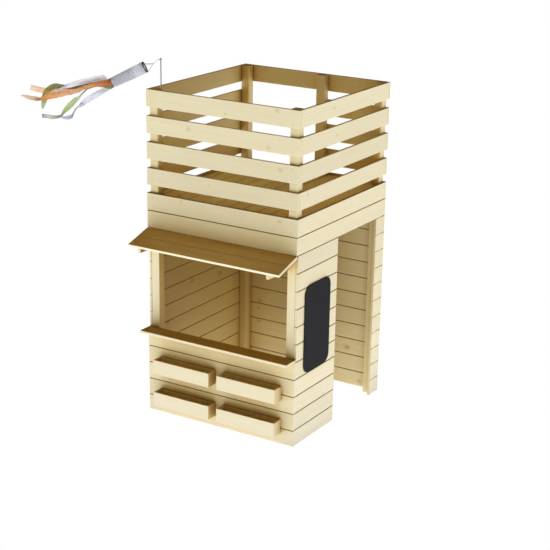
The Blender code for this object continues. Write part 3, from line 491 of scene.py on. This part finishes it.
def pine(name, grain, pitch=0.0, start=0.0, knots="plain", joints=0.0, top=WHITE, brown=0.75,
         under=WHITE, inner=WHITE, hollow=False, sheltering=1.0, seam=None):
    """Planed pine: growth rings drawn out along the grain, resin streaks, knots and board tones.

    grain is the axis that the boards run along. pitch and start say where a new board begins, up
    the wall, or across the deck where grain is "deck". joints is how dark the tongued joints are,
    top and under multiply the colours of faces that look up and down, as painted light above 1
    and painted shade below 1, and brown is how far faces that look up take on painted brown shade.
    inner is the painted shade of faces in the cabin, sheltering is how strong the painted shade
    in shelter is, hollow takes part of that shade off the trays' inner faces as painted light, and
    seam is the Y of a joint between two boards, along which a line of painted shade runs.
    """
    n = Nodes(name)
    coords = n.add("TexCoord").outputs
    place = coords["Object"]
    facing = n.xyz(coords["Normal"])
    x, y, z = n.xyz(place)
    fibre, shift, tone = board_grain(n, x, y, z, place, grain, pitch, start)

    # Growth rings: distance from a wandering pith, in narrow light and dark bands
    wander = n.noise(fibre, WANDER_SCALE, 2.0)
    pith = n.vector("ADD", fibre, n.dim((PITH_WANDER,) * 3, wander))
    from_pith = n.vector("LENGTH", n.vector("SUBTRACT", pith, shift))
    rings = n.math("FRACT", n.times(from_pith, RINGS))
    late = n.math("POWER", n.apart(rings, RING_MIDDLE), 2.0)
    streak = n.noise(fibre, STREAK_SCALE, 4.0, 0.62)
    broad = n.noise(fibre, BROAD_SCALE, 2.0)
    fine = n.noise(fibre, FINE_SCALE, 2.0, 0.6)

    base = n.blend(n.span(streak, 0.30, 0.80, 0.0, 0.30), PALE_WOOD, WARM_WOOD)
    base = n.blend(n.times(late, 0.8, clamp=True), base, WARM_WOOD)
    base = n.blend(n.span(broad, 0.40, 0.75, 0.0, 0.22), base, MELLOW_WOOD)
    tones = (0.92, 1.30) if grain == "deck" else (0.955, 1.02)
    bright = n.span(tone, 0.0, 1.0, *tones)
    base = n.dim(base, n.times(bright, n.span(fine, 0.3, 0.7, 0.975, 1.015)))
    base = add_knots(n, base, place, grain, knots, streak)
    base = tint_inside(n, base, x, y, z, facing, inner)

    # Painted shade: faces that look up are browner, as little light falls from above. top and under
    # then paint light where they are above 1 and shade where below it, on faces that look up and
    # down
    upward = n.span(facing[2], 0.55, 0.90)
    upward_shade = n.blend(n.span(streak, 0.35, 0.75), UPWARD_SHADE_PALE, UPWARD_SHADE_DEEP)
    base = n.blend(n.times(upward, brown), base, upward_shade)
    base = n.tint(upward, base, top)
    base = n.tint(n.span(facing[2], -0.3, -0.6), base, under)

    # Painted shade: corners and narrow gaps are darker and browner than the open faces;
    # the trays' inner faces get less of it, as painted light
    sheltered = n.times(n.shelter(SHELTER_REACH), sheltering)
    if hollow:
        lit = n.times(inside_trays(n, x, y, facing), TRAY_LIGHT)
        sheltered = n.times(sheltered, n.minus(1.0, lit))
    base = n.tint(n.span(sheltered, 0.10, 0.48), base, SHELTER_SHADE)
    base = n.tint(n.span(sheltered, 0.48, 0.80), base, DEEP_SHELTER_SHADE)

    # Painted shade: dark lines where two pieces meet, at an angle or edge to edge, and along the
    # awning's joint
    base = n.tint(n.span(n.shelter(MEETING_REACH), 0.30, 0.62), base, MEETING_SHADE)
    if seam is not None:
        base = n.tint(n.span(n.apart(y, seam), 0.0015, 0.0035, 1.0, 0.0), base, SEAM_LINE_SHADE)

    # Shadow and dust in the joints between tongued boards
    if joints:
        rise = n.math("DIVIDE", z, BOARD)
        beside = n.apart(rise, n.math("ROUND", rise))
        dark = n.span(beside, 0.012, 0.030, 1.0, 0.0, smooth=True)
        base = n.blend(n.times(dark, joints), base, JOINT)

    rough = n.minus(n.span(streak, 0.3, 0.7, 0.50, 0.66), n.times(upward, OIL_SHINE))
    height = n.plus(n.times(streak, 0.6), n.times(fine, 0.4))
    height = n.minus(height, n.times(late, 0.8))
    return n.surface(base, rough, (height, 0.25, 0.0006), {"Specular IOR Level": 0.35})


def slate():
    """Matt blackboard paint with faint chalk haze, wiped in arcs."""
    n = Nodes("blackboard_paint")
    place = n.place()
    haze = n.noise(n.scale(place, (1.0, 1.6, 0.5)), 6.0, 4.0, 0.6)
    wiped = n.noise(n.scale(place, (1.0, 14.0, 2.0)), 5.0, 3.0)
    chalk = n.times(n.span(haze, 0.45, 0.75), n.span(wiped, 0.40, 0.70))
    grit = n.noise(place, 900.0, 2.0)
    base = n.blend(n.times(chalk, 0.10), *SLATE)
    rough = n.span(grit, 0.3, 0.7, 0.74, 0.88)
    return n.surface(base, rough, (grit, 0.18, 0.0002), {"Specular IOR Level": 0.10})


def steel():
    """Drawn steel rod with fine lengthwise scratches."""
    n = Nodes("drawn_steel")
    place = n.place()
    scratch = n.noise(n.scale(place, (1.0, 1.0, 0.02)), 1500.0, 3.0)
    dull = n.noise(place, 40.0, 3.0)
    base = n.blend(n.span(scratch, 0.3, 0.7), *STEEL)
    base = n.blend(n.span(dull, 0.5, 0.8, 0.0, 0.35), base, STEEL_DULL)
    rough = n.span(dull, 0.3, 0.7, 0.32, 0.50)
    return n.surface(base, rough, (scratch, 0.15, 0.0002), {"Metallic": 0.50})


def screw_steel():
    """Yellowish zinc on the screw heads."""
    n = Nodes("zinc_screws")
    patches = n.noise(n.place(), 300.0, 3.0)
    base = n.blend(n.span(patches, 0.35, 0.7), *ZINC)
    rough = n.span(patches, 0.3, 0.7, 0.35, 0.55)
    return n.surface(base, rough, (patches, 0.1, 0.0002), {"Metallic": 0.3})


def plastic(name, low, high):
    """Moulded plastic between two tones, fine grained."""
    n = Nodes(name)
    place = n.place()
    grain = n.noise(place, 1400.0, 2.0)
    worn = n.noise(place, 60.0, 4.0)
    base = n.blend(n.span(worn, 0.45, 0.75), low, high)
    return n.surface(base, n.span(grain, 0.3, 0.7, 0.40, 0.56), (grain, 0.15, 0.0002))


def twisted_line():
    """Thin twisted nylon line."""
    n = Nodes("twisted_line")
    place = n.place()
    x, y, z = n.xyz(place)
    turns = n.math("SINE", n.times(n.plus(n.plus(x, y), z), LINE_TURNS))
    grit = n.noise(place, 900.0, 2.0)
    base = n.blend(n.span(turns, -1.0, 1.0, 0.0, 0.6), *LINE)
    return n.surface(base, n.span(grit, 0.3, 0.7, 0.45, 0.62), (turns, 0.3, 0.0002))


def cloth(name, stops, clear, glow, creases=(), shade=0.74, sheen=0.0):
    """Thin woven ripstop cloth: light falls through it, with painted shade of soft folds on it.

    stops are the cloth's colours along its run, as (run in metres, (red, green, blue)), with
    painted light and shade in them. creases are painted shade of folds across it: (run, slant,
    width, strength). shade is how dark the painted shade of soft folds gets.
    """
    n = Nodes(name)
    u, v = n.xyz(n.add("UVMap").outputs[0])[:2]
    warp, weft = (n.math("SINE", n.times(run, math.tau * WEAVE)) for run in (u, v))
    weave = n.times(warp, weft)
    heavy = [n.apart(n.math("FRACT", n.times(run, RIPSTOP)), 0.5) for run in (u, v)]
    ripstop = n.span(n.math("MAXIMUM", *heavy), 0.44, 0.49)
    # Colours along the run, with painted light and shade in them
    base = stops[0][1]
    for (before, _), (run, shade_there) in zip(stops, stops[1:]):
        base = n.blend(n.span(v, before, run, smooth=True), base, shade_there)
    place = n.vector("ADD", n.join(u, n.times(v, 0.35), 0.0), (len(name) * 0.37, 0.0, 0.0))
    # Painted shade of soft folds and of creases, and the weave and ripstop pattern
    soft = n.noise(place, 34.0, 3.0, 0.55)
    dim = n.span(soft, 0.32, 0.68, 1.0, shade, smooth=True)
    dim = n.times(dim, n.span(weave, -1.0, 1.0, 1.0, 0.97))
    dim = n.times(dim, n.minus(1.0, n.times(ripstop, 0.06)))
    for run, slant, width, strength in creases:
        away = n.minus(n.plus(v, n.times(u, slant)), run)
        away = n.plus(away, n.times(n.minus(soft, 0.5), width * 1.5))
        fold = n.span(n.math("ABSOLUTE", away), 0.0, width, strength, 0.0, smooth=True)
        dim = n.times(dim, n.minus(1.0, fold))
    base = n.dim(base, dim)
    relief = (n.plus(weave, n.times(soft, 3.0)), 0.12, 0.0004)
    n.surface(base, n.span(weave, -1.0, 1.0, 0.55, 0.70), relief, {
        "Specular IOR Level": 0.3, "Sheen Weight": sheen, "Alpha": clear})
    through = n.add("BsdfTranslucent", {"Color": base}).outputs[0]
    mixed = n.add("MixShader", {0: glow, 1: n.shader.outputs[0], 2: through}).outputs[0]
    n.feed(n.output.inputs["Surface"], mixed)
    return n.material


def dress(names, material):
    """Puts the material on the slots of those nodes."""
    for name in names:
        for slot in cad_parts[name].material_slots:
            slot.material = material


def house_materials():
    """Timber, blackboard, steel, plastic and line."""
    # top, under, inner, brown and sheltering below paint light and shade onto the timber
    wall = {"pitch": BOARD, "joints": WALL_JOINTS}
    dress(("front_counter_boards",), pine("front_boarding", "X", knots="front", **wall))
    dress(("front_header_boards",), pine(
        "header_boarding", "X", knots="front", sheltering=0.92, **wall))
    dress(("back_wall_boards",), pine(
        "back_boarding", "X", knots="back", inner=(0.90, 0.90, 0.90), **wall))
    dress(("left_wall_boards",), pine(
        "left_boarding", "Y", knots="left", inner=(0.81, 0.76, 0.62), **wall))
    dress(("right_wall_boards", "door_header_boards"), pine(
        "right_boarding", "Y", knots="right", **wall))
    dress(("door_side_boards",), pine(
        "door_strip_boarding", "Y", BOARD, brown=0.0, top=(1.6, 1.6, 1.6), sheltering=0.2))

    pitch = SLAT_TOPS[1] - SLAT_TOPS[0]
    first = SLAT_TOPS[0] - SLAT_HEIGHT - SLAT_GAP / 2
    for side in ("front", "back", "left", "right"):
        grain = "X" if side in ("front", "back") else "Y"
        slats = [f"{side}_rail_slat_{number}" for number in range(1, 5)]
        dress(slats, pine(f"{side}_slats", grain, pitch, first, side))
    posts = [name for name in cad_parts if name.endswith("_post")]
    dress(posts, pine("post_timber", "Z", top=(1.35, 1.35, 1.30), sheltering=0.91))
    dress(("awning_upper_board", "awning_lower_board"), pine(
        "awning_timber", "X", TONE_PITCH, TONE_START, top=(1.16, 1.07, 0.74),
        under=(0.66, 0.56, 0.40), seam=AWNING_SEAM))
    dress(("counter_shelf",), pine(
        "counter_timber", "X", TONE_PITCH, TONE_START, top=(0.78, 0.64, 0.32)))
    dress(("left_awning_bracket", "right_awning_bracket"), pine("bracket_timber", "Y"))
    trays = [f"{level}_{side}_tray" for level in ("lower", "upper") for side in ("left", "right")]
    dress(trays, pine(
        "tray_timber", "X", TRAY_RISE, TRAY_START, top=(1.2, 1.18, 1.05), hollow=True))
    dress(("roof_deck",), pine(
        "deck_timber", "deck", DECK_PITCH, DECK_START, "deck", top=(1.48, 1.56, 1.66), brown=0.38,
        under=(0.40, 0.28, 0.13)))
    ladder = [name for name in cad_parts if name.startswith("ladder")]
    dress(ladder + ["rod_holder"], pine("ladder_timber", "Z"))
    dress(("blackboard",), slate())
    dress(("windsock_rod",), steel())
    dress(("windsock_hoop",), plastic("dark_plastic", *DARK_PLASTIC))
    dress(("swivel_cap",), plastic("grey_plastic", *GREY_PLASTIC))
    dress(("bridle",), twisted_line())


def mesh_object(name, verts, faces, material, uvs=None):
    """A smooth piece of the dressed model. uvs has one pair for each vertex."""
    mesh = bpy.data.meshes.new(name)
    mesh.from_pydata([tuple(vert) for vert in verts], [], faces)
    if uvs:
        layer = mesh.uv_layers.new(name="UVMap")
        for loop in mesh.loops:
            layer.data[loop.index].uv = uvs[loop.vertex_index]
    mesh.materials.append(material)
    for face in mesh.polygons:
        face.use_smooth = True
    item = bpy.data.objects.new(name, mesh)
    bpy.context.collection.objects.link(item)
    return item


def thicken(item, thickness):
    """Gives a sheet its thickness outwards, as part of its mesh."""
    modifier = item.modifiers.new("thickness", "SOLIDIFY")
    modifier.thickness = thickness
    modifier.offset = 1.0
    evaluated = item.evaluated_get(bpy.context.evaluated_depsgraph_get())
    mesh = bpy.data.meshes.new_from_object(evaluated)
    item.modifiers.clear()
    old = item.data
    item.data = mesh
    bpy.data.meshes.remove(old)
    mesh.name = item.name


def grid_faces(rows, columns, closed=False):
    """Four-sided faces between rows of vertices, joined round where closed."""
    faces = []
    last = columns if closed else columns - 1
    for row in range(rows - 1):
        for column in range(last):
            after = (column + 1) % columns
            faces.append((
                row * columns + column, row * columns + after,
                (row + 1) * columns + after, (row + 1) * columns + column))
    return faces


def move_faces(faces, first):
    """The same faces, for vertices that start at first."""
    return [tuple(first + corner for corner in face) for face in faces]


def smooth_route(points, steps):
    """Stations on a smooth curve through the points, which carry a twist as their fourth value."""
    points = [Vector(point) for point in points]
    points = [points[0] * 2 - points[1], *points, points[-1] * 2 - points[-2]]
    stations = []
    for before, start, end, after in zip(points, points[1:], points[2:], points[3:]):
        span = (end - start).to_3d().length
        leave = (end - before) * span / ((start - before).to_3d().length + span)
        arrive = (after - start) * span / ((after - end).to_3d().length + span)
        for step in range(steps):
            t = step / steps
            onwards = t * t * (3 - 2 * t)
            bend = leave * (t * (1 - t) ** 2) - arrive * (t * t * (1 - t))
            stations.append(start * (1 - onwards) + end * onwards + bend)
    stations.append(points[-2])
    return stations


def sleeve_radius(along, around):
    """Radius of the sleeve at a share of its length and an angle from its top."""
    taper = (SLEEVE_END_RADIUS - HOOP_RADIUS) * along
    crest = HOOP_RADIUS + taper + BILLOW * math.sin(math.pi * along)
    fold = FOLD_DEPTH * max(0.0, (along - FOLD_START) / (1 - FOLD_START)) ** 1.5
    radius = crest - fold * (1 - math.cos(FOLDS * around)) / 2
    across, up = math.cos(around), math.sin(around)
    creases = noise.noise(Vector((across * 2.2, up * 2.2, along * 3.0)))
    fine = noise.noise(Vector((across * 7.0, up * 7.0, along * 6.0 + 5.0)))
    taut = min(1.0, along / TAUT_SHARE, (1.0 - along) / TAUT_SHARE)
    return radius - SLEEVE_INSET + taut * (CREASE_DEPTH * creases + FINE_CREASE_DEPTH * fine)


def on_sleeve(along, around, radius):
    """A place at a share of the sleeve's length, an angle from its top and a radius."""
    return SLEEVE_PLACE @ Vector((
        SLEEVE_START + SLEEVE_LENGTH * along, radius * math.sin(around), radius * math.cos(around)))


def hem(name, low, high, rows, puckers, material):
    """A strip of cloth round the sleeve between two shares of its length."""
    verts, uvs = [], []
    for row in range(rows):
        along = low + (high - low) * row / (rows - 1)
        edge = 1.0 if 0 < row < rows - 1 else HEM_EDGE
        for side in range(HEM_SIDES):
            around = math.tau * side / HEM_SIDES
            pucker = puckers * math.sin(around * PUCKERS_ROUND)
            radius = sleeve_radius(along, around) + HEM_PROUD * edge + pucker * edge
            verts.append(on_sleeve(along, around, radius))
            uvs.append((around * HOOP_RADIUS, SLEEVE_LENGTH * along))
    item = mesh_object(name, verts, grid_faces(rows, HEM_SIDES, closed=True), material, uvs)
    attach(item, "windsock")
    return item


def stitches(name, stations, material, body="windsock"):
    """Stitches as short raised threads. Each station is a place, a direction and a normal."""
    strip = grid_faces(len(STITCH_OUTLINE), 2)
    verts, faces = [], []
    for centre, onward, outward in stations:
        side = onward.cross(outward).normalized()
        faces += move_faces(strip, len(verts))
        for share, lift in STITCH_OUTLINE:
            for reach in (-STITCH_REACH, STITCH_REACH):
                verts.append(
                    centre + onward * (share * STITCH_LENGTH) + side * reach
                    + outward * (lift * STITCH_HEIGHT))
    item = mesh_object(name, verts, faces, material)
    thicken(item, THREAD_THICKNESS)
    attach(item, body)
    return item


def stitch_stations():
    """Rows round both hems, and one row down the side seam."""
    stations = []

    def add(along, around, lift, onward):
        out = Vector((0, math.sin(around), math.cos(around)))
        middle = Vector((SLEEVE_START + SLEEVE_LENGTH * along, 0, 0))
        place = middle + out * (sleeve_radius(along, around) + lift)
        stations.append((SLEEVE_PLACE @ place, SLEEVE_TURN @ Vector(onward), SLEEVE_TURN @ out))

    for along, count in HEM_STITCHES:
        for number in range(count):
            around = math.tau * number / count
            add(along, around, HEM_STITCH_LIFT, (0, math.cos(around), -math.sin(around)))
    for number in range(SEAM_STITCHES):
        along = SEAM_FROM + SEAM_SHARE * number / (SEAM_STITCHES - 1)
        add(along, math.radians(SEAM_ANGLE), SEAM_STITCH_LIFT, (1, 0, 0))
    return stations


def make_sleeve(silver, hem_cloth, thread):
    """The tapered tube of thin cloth behind the hoop, with its hems and side seam."""
    verts, uvs = [], []
    for row in range(SLEEVE_ROWS):
        along = row / (SLEEVE_ROWS - 1)
        for side in range(SLEEVE_SIDES + 1):
            around = math.tau * side / SLEEVE_SIDES
            verts.append(on_sleeve(along, around, sleeve_radius(along, around)))
            uvs.append((around * HOOP_RADIUS, SLEEVE_LENGTH * along))
    faces = grid_faces(SLEEVE_ROWS, SLEEVE_SIDES + 1)
    sleeve = mesh_object("sleeve_cloth", verts, faces, silver, uvs)
    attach(sleeve, "windsock")
    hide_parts("windsock_sleeve")
    mouth_hem = hem("sleeve_mouth_hem", *MOUTH_HEM, hem_cloth)
    tail_hem = hem("sleeve_tail_hem", *TAIL_HEM, hem_cloth)
    seams = stitches("sleeve_stitches", stitch_stations(), thread)


def make_ribbon(name, angle, route, material):
    """One ribbon: a strip that cups and flutters along its route."""
    centre_of_end = SLEEVE_AXIS @ Vector((SLEEVE_END, 0, 0))
    radius = SLEEVE_END_RADIUS - RIBBON_SEAT
    around = math.radians(angle)
    points = []
    for share in (0.0, 0.5, 1.0):
        at = SLEEVE_AXIS @ Vector((
            SLEEVE_END + RIBBON_GAP + SEAM_RUN * share,
            radius * math.sin(around), radius * math.cos(around)))
        points.append((*at, -angle))
    for *place, twist in route:
        points.append((*(end + offset for end, offset in zip(centre_of_end, place)), twist))
    stations = smooth_route(points, RIBBON_STEPS)
    centres = [station.to_3d() for station in stations]
    verts, uvs = [], []
    run = area = last_width = 0.0
    for number, station in enumerate(stations):
        ahead = centres[min(number + 1, len(centres) - 1)] - centres[max(number - 1, 0)]
        sideways = Vector((0, 1, 0)) - ahead * (ahead.y / ahead.length_squared)
        sideways.rotate(Matrix.Rotation(math.radians(station.w), 3, ahead))
        sideways.normalize()
        normal = ahead.normalized().cross(sideways)
        step = (centres[number] - centres[number - 1]).length if number else 0.0
        run += step
        spread = min(1.0, (centres[number] - centres[0]).length / WIDENING)
        width = SEAM_WIDTH + (RIBBON_WIDTH - SEAM_WIDTH) * spread
        area += step * (width + last_width) / 2
        last_width = width
        free = min(1.0, run / FREE_AFTER)
        cup = CUP_DEPTH * free * math.sin(run * CUP_WAVES + angle)
        phase = run * FLUTTER_WAVES + angle * FLUTTER_TURN
        for column in range(RIBBON_COLUMNS):
            share = column / (RIBBON_COLUMNS - 1) * 2 - 1
            flutter = FLUTTER_DEPTH * free * share * abs(share) * math.sin(phase + share)
            bow = cup * (share * share - CUP_LEVEL)
            across = sideways * (share * width / 2)
            verts.append(WINDSOCK @ (centres[number] + across + normal * (bow + flutter)))
            uvs.append((share * width / 2, run))
    faces = grid_faces(len(stations), RIBBON_COLUMNS)
    item = mesh_object(f"{name}_cloth", verts, faces, material, uvs)
    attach(item, "windsock")
    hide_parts(name)


def screw_places():
    """Places and outward directions of the screws, two at each end of every board."""
    front, back = HOUSE_Y, HOUSE_Y + DEPTH
    left, right = HOUSE_X, HOUSE_X + WIDTH
    low_x, high_x = left + POST_CENTRE, right - POST_CENTRE
    low_y, high_y = front + POST_CENTRE, back - POST_CENTRE
    mid_x = left + BACK_POST_CENTRE
    on_front = [((x, front), (0, -1, 0)) for x in (low_x, high_x)]
    on_back = [((x, back), (0, 1, 0)) for x in (low_x, mid_x, high_x)]
    on_sides = [
        ((x, y), (sign, 0, 0)) for y in (low_y, high_y) for x, sign in ((left, -1), (right, 1))]
    by_door = [((right, front + DOOR_FRONT - DOOR_POST_HALF), (1, 0, 0))]

    # At the back only the top slat runs the whole width; the others end at the middle post
    boards = []
    for top in SLAT_TOPS:
        ends = on_back if top == SLAT_TOPS[-1] else on_back[1:]
        boards.append((top - SLAT_HEIGHT / 2, on_front + on_sides + ends))
    for row in range(WALL_ROWS):
        ends = on_back + on_sides
        if row < COUNTER_ROWS or row >= OPENING_ROWS:
            ends = on_front + ends
        if row < OPENING_ROWS:
            ends = ends + by_door
        boards.append((BOARD * (row + 0.5), ends))
    return [
        ((x, y, height + lift), outward) for height, ends in boards
        for lift in (-SCREW_SPREAD, SCREW_SPREAD) for (x, y), outward in ends]


def make_screws():
    """Countersunk screw heads with their recesses."""
    middle = len(SCREW_HEAD) * SCREW_SIDES
    inner = middle - SCREW_SIDES
    head = grid_faces(len(SCREW_HEAD), SCREW_SIDES, closed=True)
    head += [
        (inner + side, inner + (side + 1) % SCREW_SIDES, middle) for side in range(SCREW_SIDES)]
    verts, faces = [], []
    for centre, outward in screw_places():
        centre, outward = Vector(centre), Vector(outward)
        across = Vector((0, 0, 1)).cross(outward)
        faces += move_faces(head, len(verts))
        for radius, lift in SCREW_HEAD:
            for side in range(SCREW_SIDES):
                turn = math.tau * side / SCREW_SIDES
                offset = across * (radius * math.cos(turn))
                offset += Vector((0, 0, radius * math.sin(turn)))
                verts.append(centre + offset + outward * lift)
        verts.append(centre + outward * RECESS_HEIGHT)
    item = mesh_object("screws", verts, faces, screw_steel())
    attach(item, "house")


def plane(name, low, high, level):
    """A level rectangle for the floors round the house."""
    corners = ((low[0], low[1]), (high[0], low[1]), (high[0], high[1]), (low[0], high[1]))
    mesh = bpy.data.meshes.new(name)
    mesh.from_pydata([(x, y, level) for x, y in corners], [], [(0, 1, 2, 3)])
    item = bpy.data.objects.new(name, mesh)
    bpy.context.collection.objects.link(item)
    return item


def floors():
    """The white floor that is seen, and the one by the house that gives it light."""
    floor = plane("floor", (-FLOOR_REACH, -FLOOR_REACH), (FLOOR_REACH, FLOOR_REACH), FLOOR_LEVEL)
    n = Nodes("floor_white")
    n.settle({
        "Base Color": BLACK, "Specular IOR Level": 0.0, "Emission Color": WHITE,
        "Emission Strength": 1.0})
    floor.data.materials.append(n.material)
    for ray in ("diffuse", "glossy", "transmission", "volume_scatter", "shadow"):
        setattr(floor, "visible_" + ray, False)

    # The floor close to the walls and under the house gives less light than the open floor
    margin = NEAR_FLOOR_MARGIN
    near = plane("near_floor", (HOUSE_X - margin, HOUSE_Y - margin), (
        HOUSE_X + WIDTH + margin, HOUSE_Y + DEPTH + margin), NEAR_FLOOR_LEVEL)
    near.visible_camera = False
    near.visible_shadow = False
    n = Nodes("near_floor_white")
    x, y = n.xyz(n.place())[:2]
    aside = n.minus(n.apart(x, MIDDLE_X), WIDTH / 2)
    ahead = n.minus(n.apart(y, MIDDLE_Y), DEPTH / 2)
    away = n.vector("LENGTH", n.join(
        n.math("MAXIMUM", aside, 0.0), n.math("MAXIMUM", ahead, 0.0), 0.0))
    under = n.math("LESS_THAN", n.math("MAXIMUM", aside, ahead), HOUSE_EDGE)
    open_floor = n.span(away, 0.0, margin, FLOOR_AT_WALL, FLOOR_STRENGTH)
    inside = n.times(under, n.span(x, MIDDLE_X - WIDTH / 2, MIDDLE_X + WIDTH / 2, *UNDER_HOUSE))
    outside = n.times(n.minus(1.0, under), open_floor)
    n.settle({
        "Base Color": GREY, "Roughness": 1.0, "Specular IOR Level": 0.0,
        "Emission Color": FLOOR_LIGHT, "Emission Strength": n.plus(inside, outside)})
    near.data.materials.append(n.material)


def surround():
    """Light from below and from the horizon, and little from above. Seen directly it is white."""
    world = bpy.data.worlds.new("studio")
    bpy.context.scene.world = world
    world.use_nodes = True
    tree = world.node_tree

    def background(strength, shade):
        node = tree.nodes.new("ShaderNodeBackground")
        node.inputs["Color"].default_value = (*shade, 1.0)
        node.inputs["Strength"].default_value = strength
        return node.outputs[0]

    def mix(factor, first, second):
        node = tree.nodes.new("ShaderNodeMixShader")
        for number, value in enumerate((factor, first, second)):
            tree.links.new(value, node.inputs[number])
        return node.outputs[0]

    def level(low, high):
        node = tree.nodes.new("ShaderNodeMapRange")
        for number, value in ((1, low), (2, high), (3, 0.0), (4, 1.0)):
            node.inputs[number].default_value = value
        tree.links.new(rise.outputs[2], node.inputs[0])
        return node.outputs[0]

    rise = tree.nodes.new("ShaderNodeSeparateXYZ")
    tree.links.new(tree.nodes.new("ShaderNodeTexCoord").outputs["Generated"], rise.inputs[0])
    floor_light = mix(
        level(*HORIZON_RISE), background(FLOOR_STRENGTH, FLOOR_LIGHT),
        background(HORIZON_STRENGTH, HORIZON_LIGHT))
    light = mix(level(*SKY_RISE), floor_light, background(SKY_STRENGTH, SKY_LIGHT))
    path = tree.nodes.new("ShaderNodeLightPath")
    seen = mix(path.outputs["Is Camera Ray"], light, background(1.0, WHITE))
    tree.links.new(seen, tree.nodes["World Output"].inputs["Surface"])

    bpy.context.scene.view_settings.view_transform = "Standard"
    bpy.context.scene.view_settings.look = "None"


camera()
floors()
surround()
house_materials()
make_screws()
SILVER = cloth("silver_ripstop", (
    (0.0, (0.98, 1.0, 1.0)), (0.055, (0.96, 0.99, 1.0)), (0.085, (0.74, 0.78, 0.79)),
    (0.217, (0.71, 0.74, 0.74))), 0.88, 0.68, shade=0.94, sheen=0.2)
HEM = cloth("silver_hem", (
    (0.0, (0.92, 0.97, 1.0)), (1.0, (0.92, 0.97, 1.0))), 0.90, 0.72, shade=0.92)
THREAD = cloth("grey_thread", (
    (0.0, (0.48, 0.50, 0.54)), (1.0, (0.48, 0.50, 0.54))), 1.0, 0.0)
make_sleeve(SILVER, HEM, THREAD)
for ribbon_name, (ribbon_angle, ribbon_route) in RIBBONS.items():
    finish = cloth(f"{ribbon_name}_ripstop", *CLOTHS[ribbon_name])
    make_ribbon(ribbon_name, ribbon_angle, ribbon_route, finish)
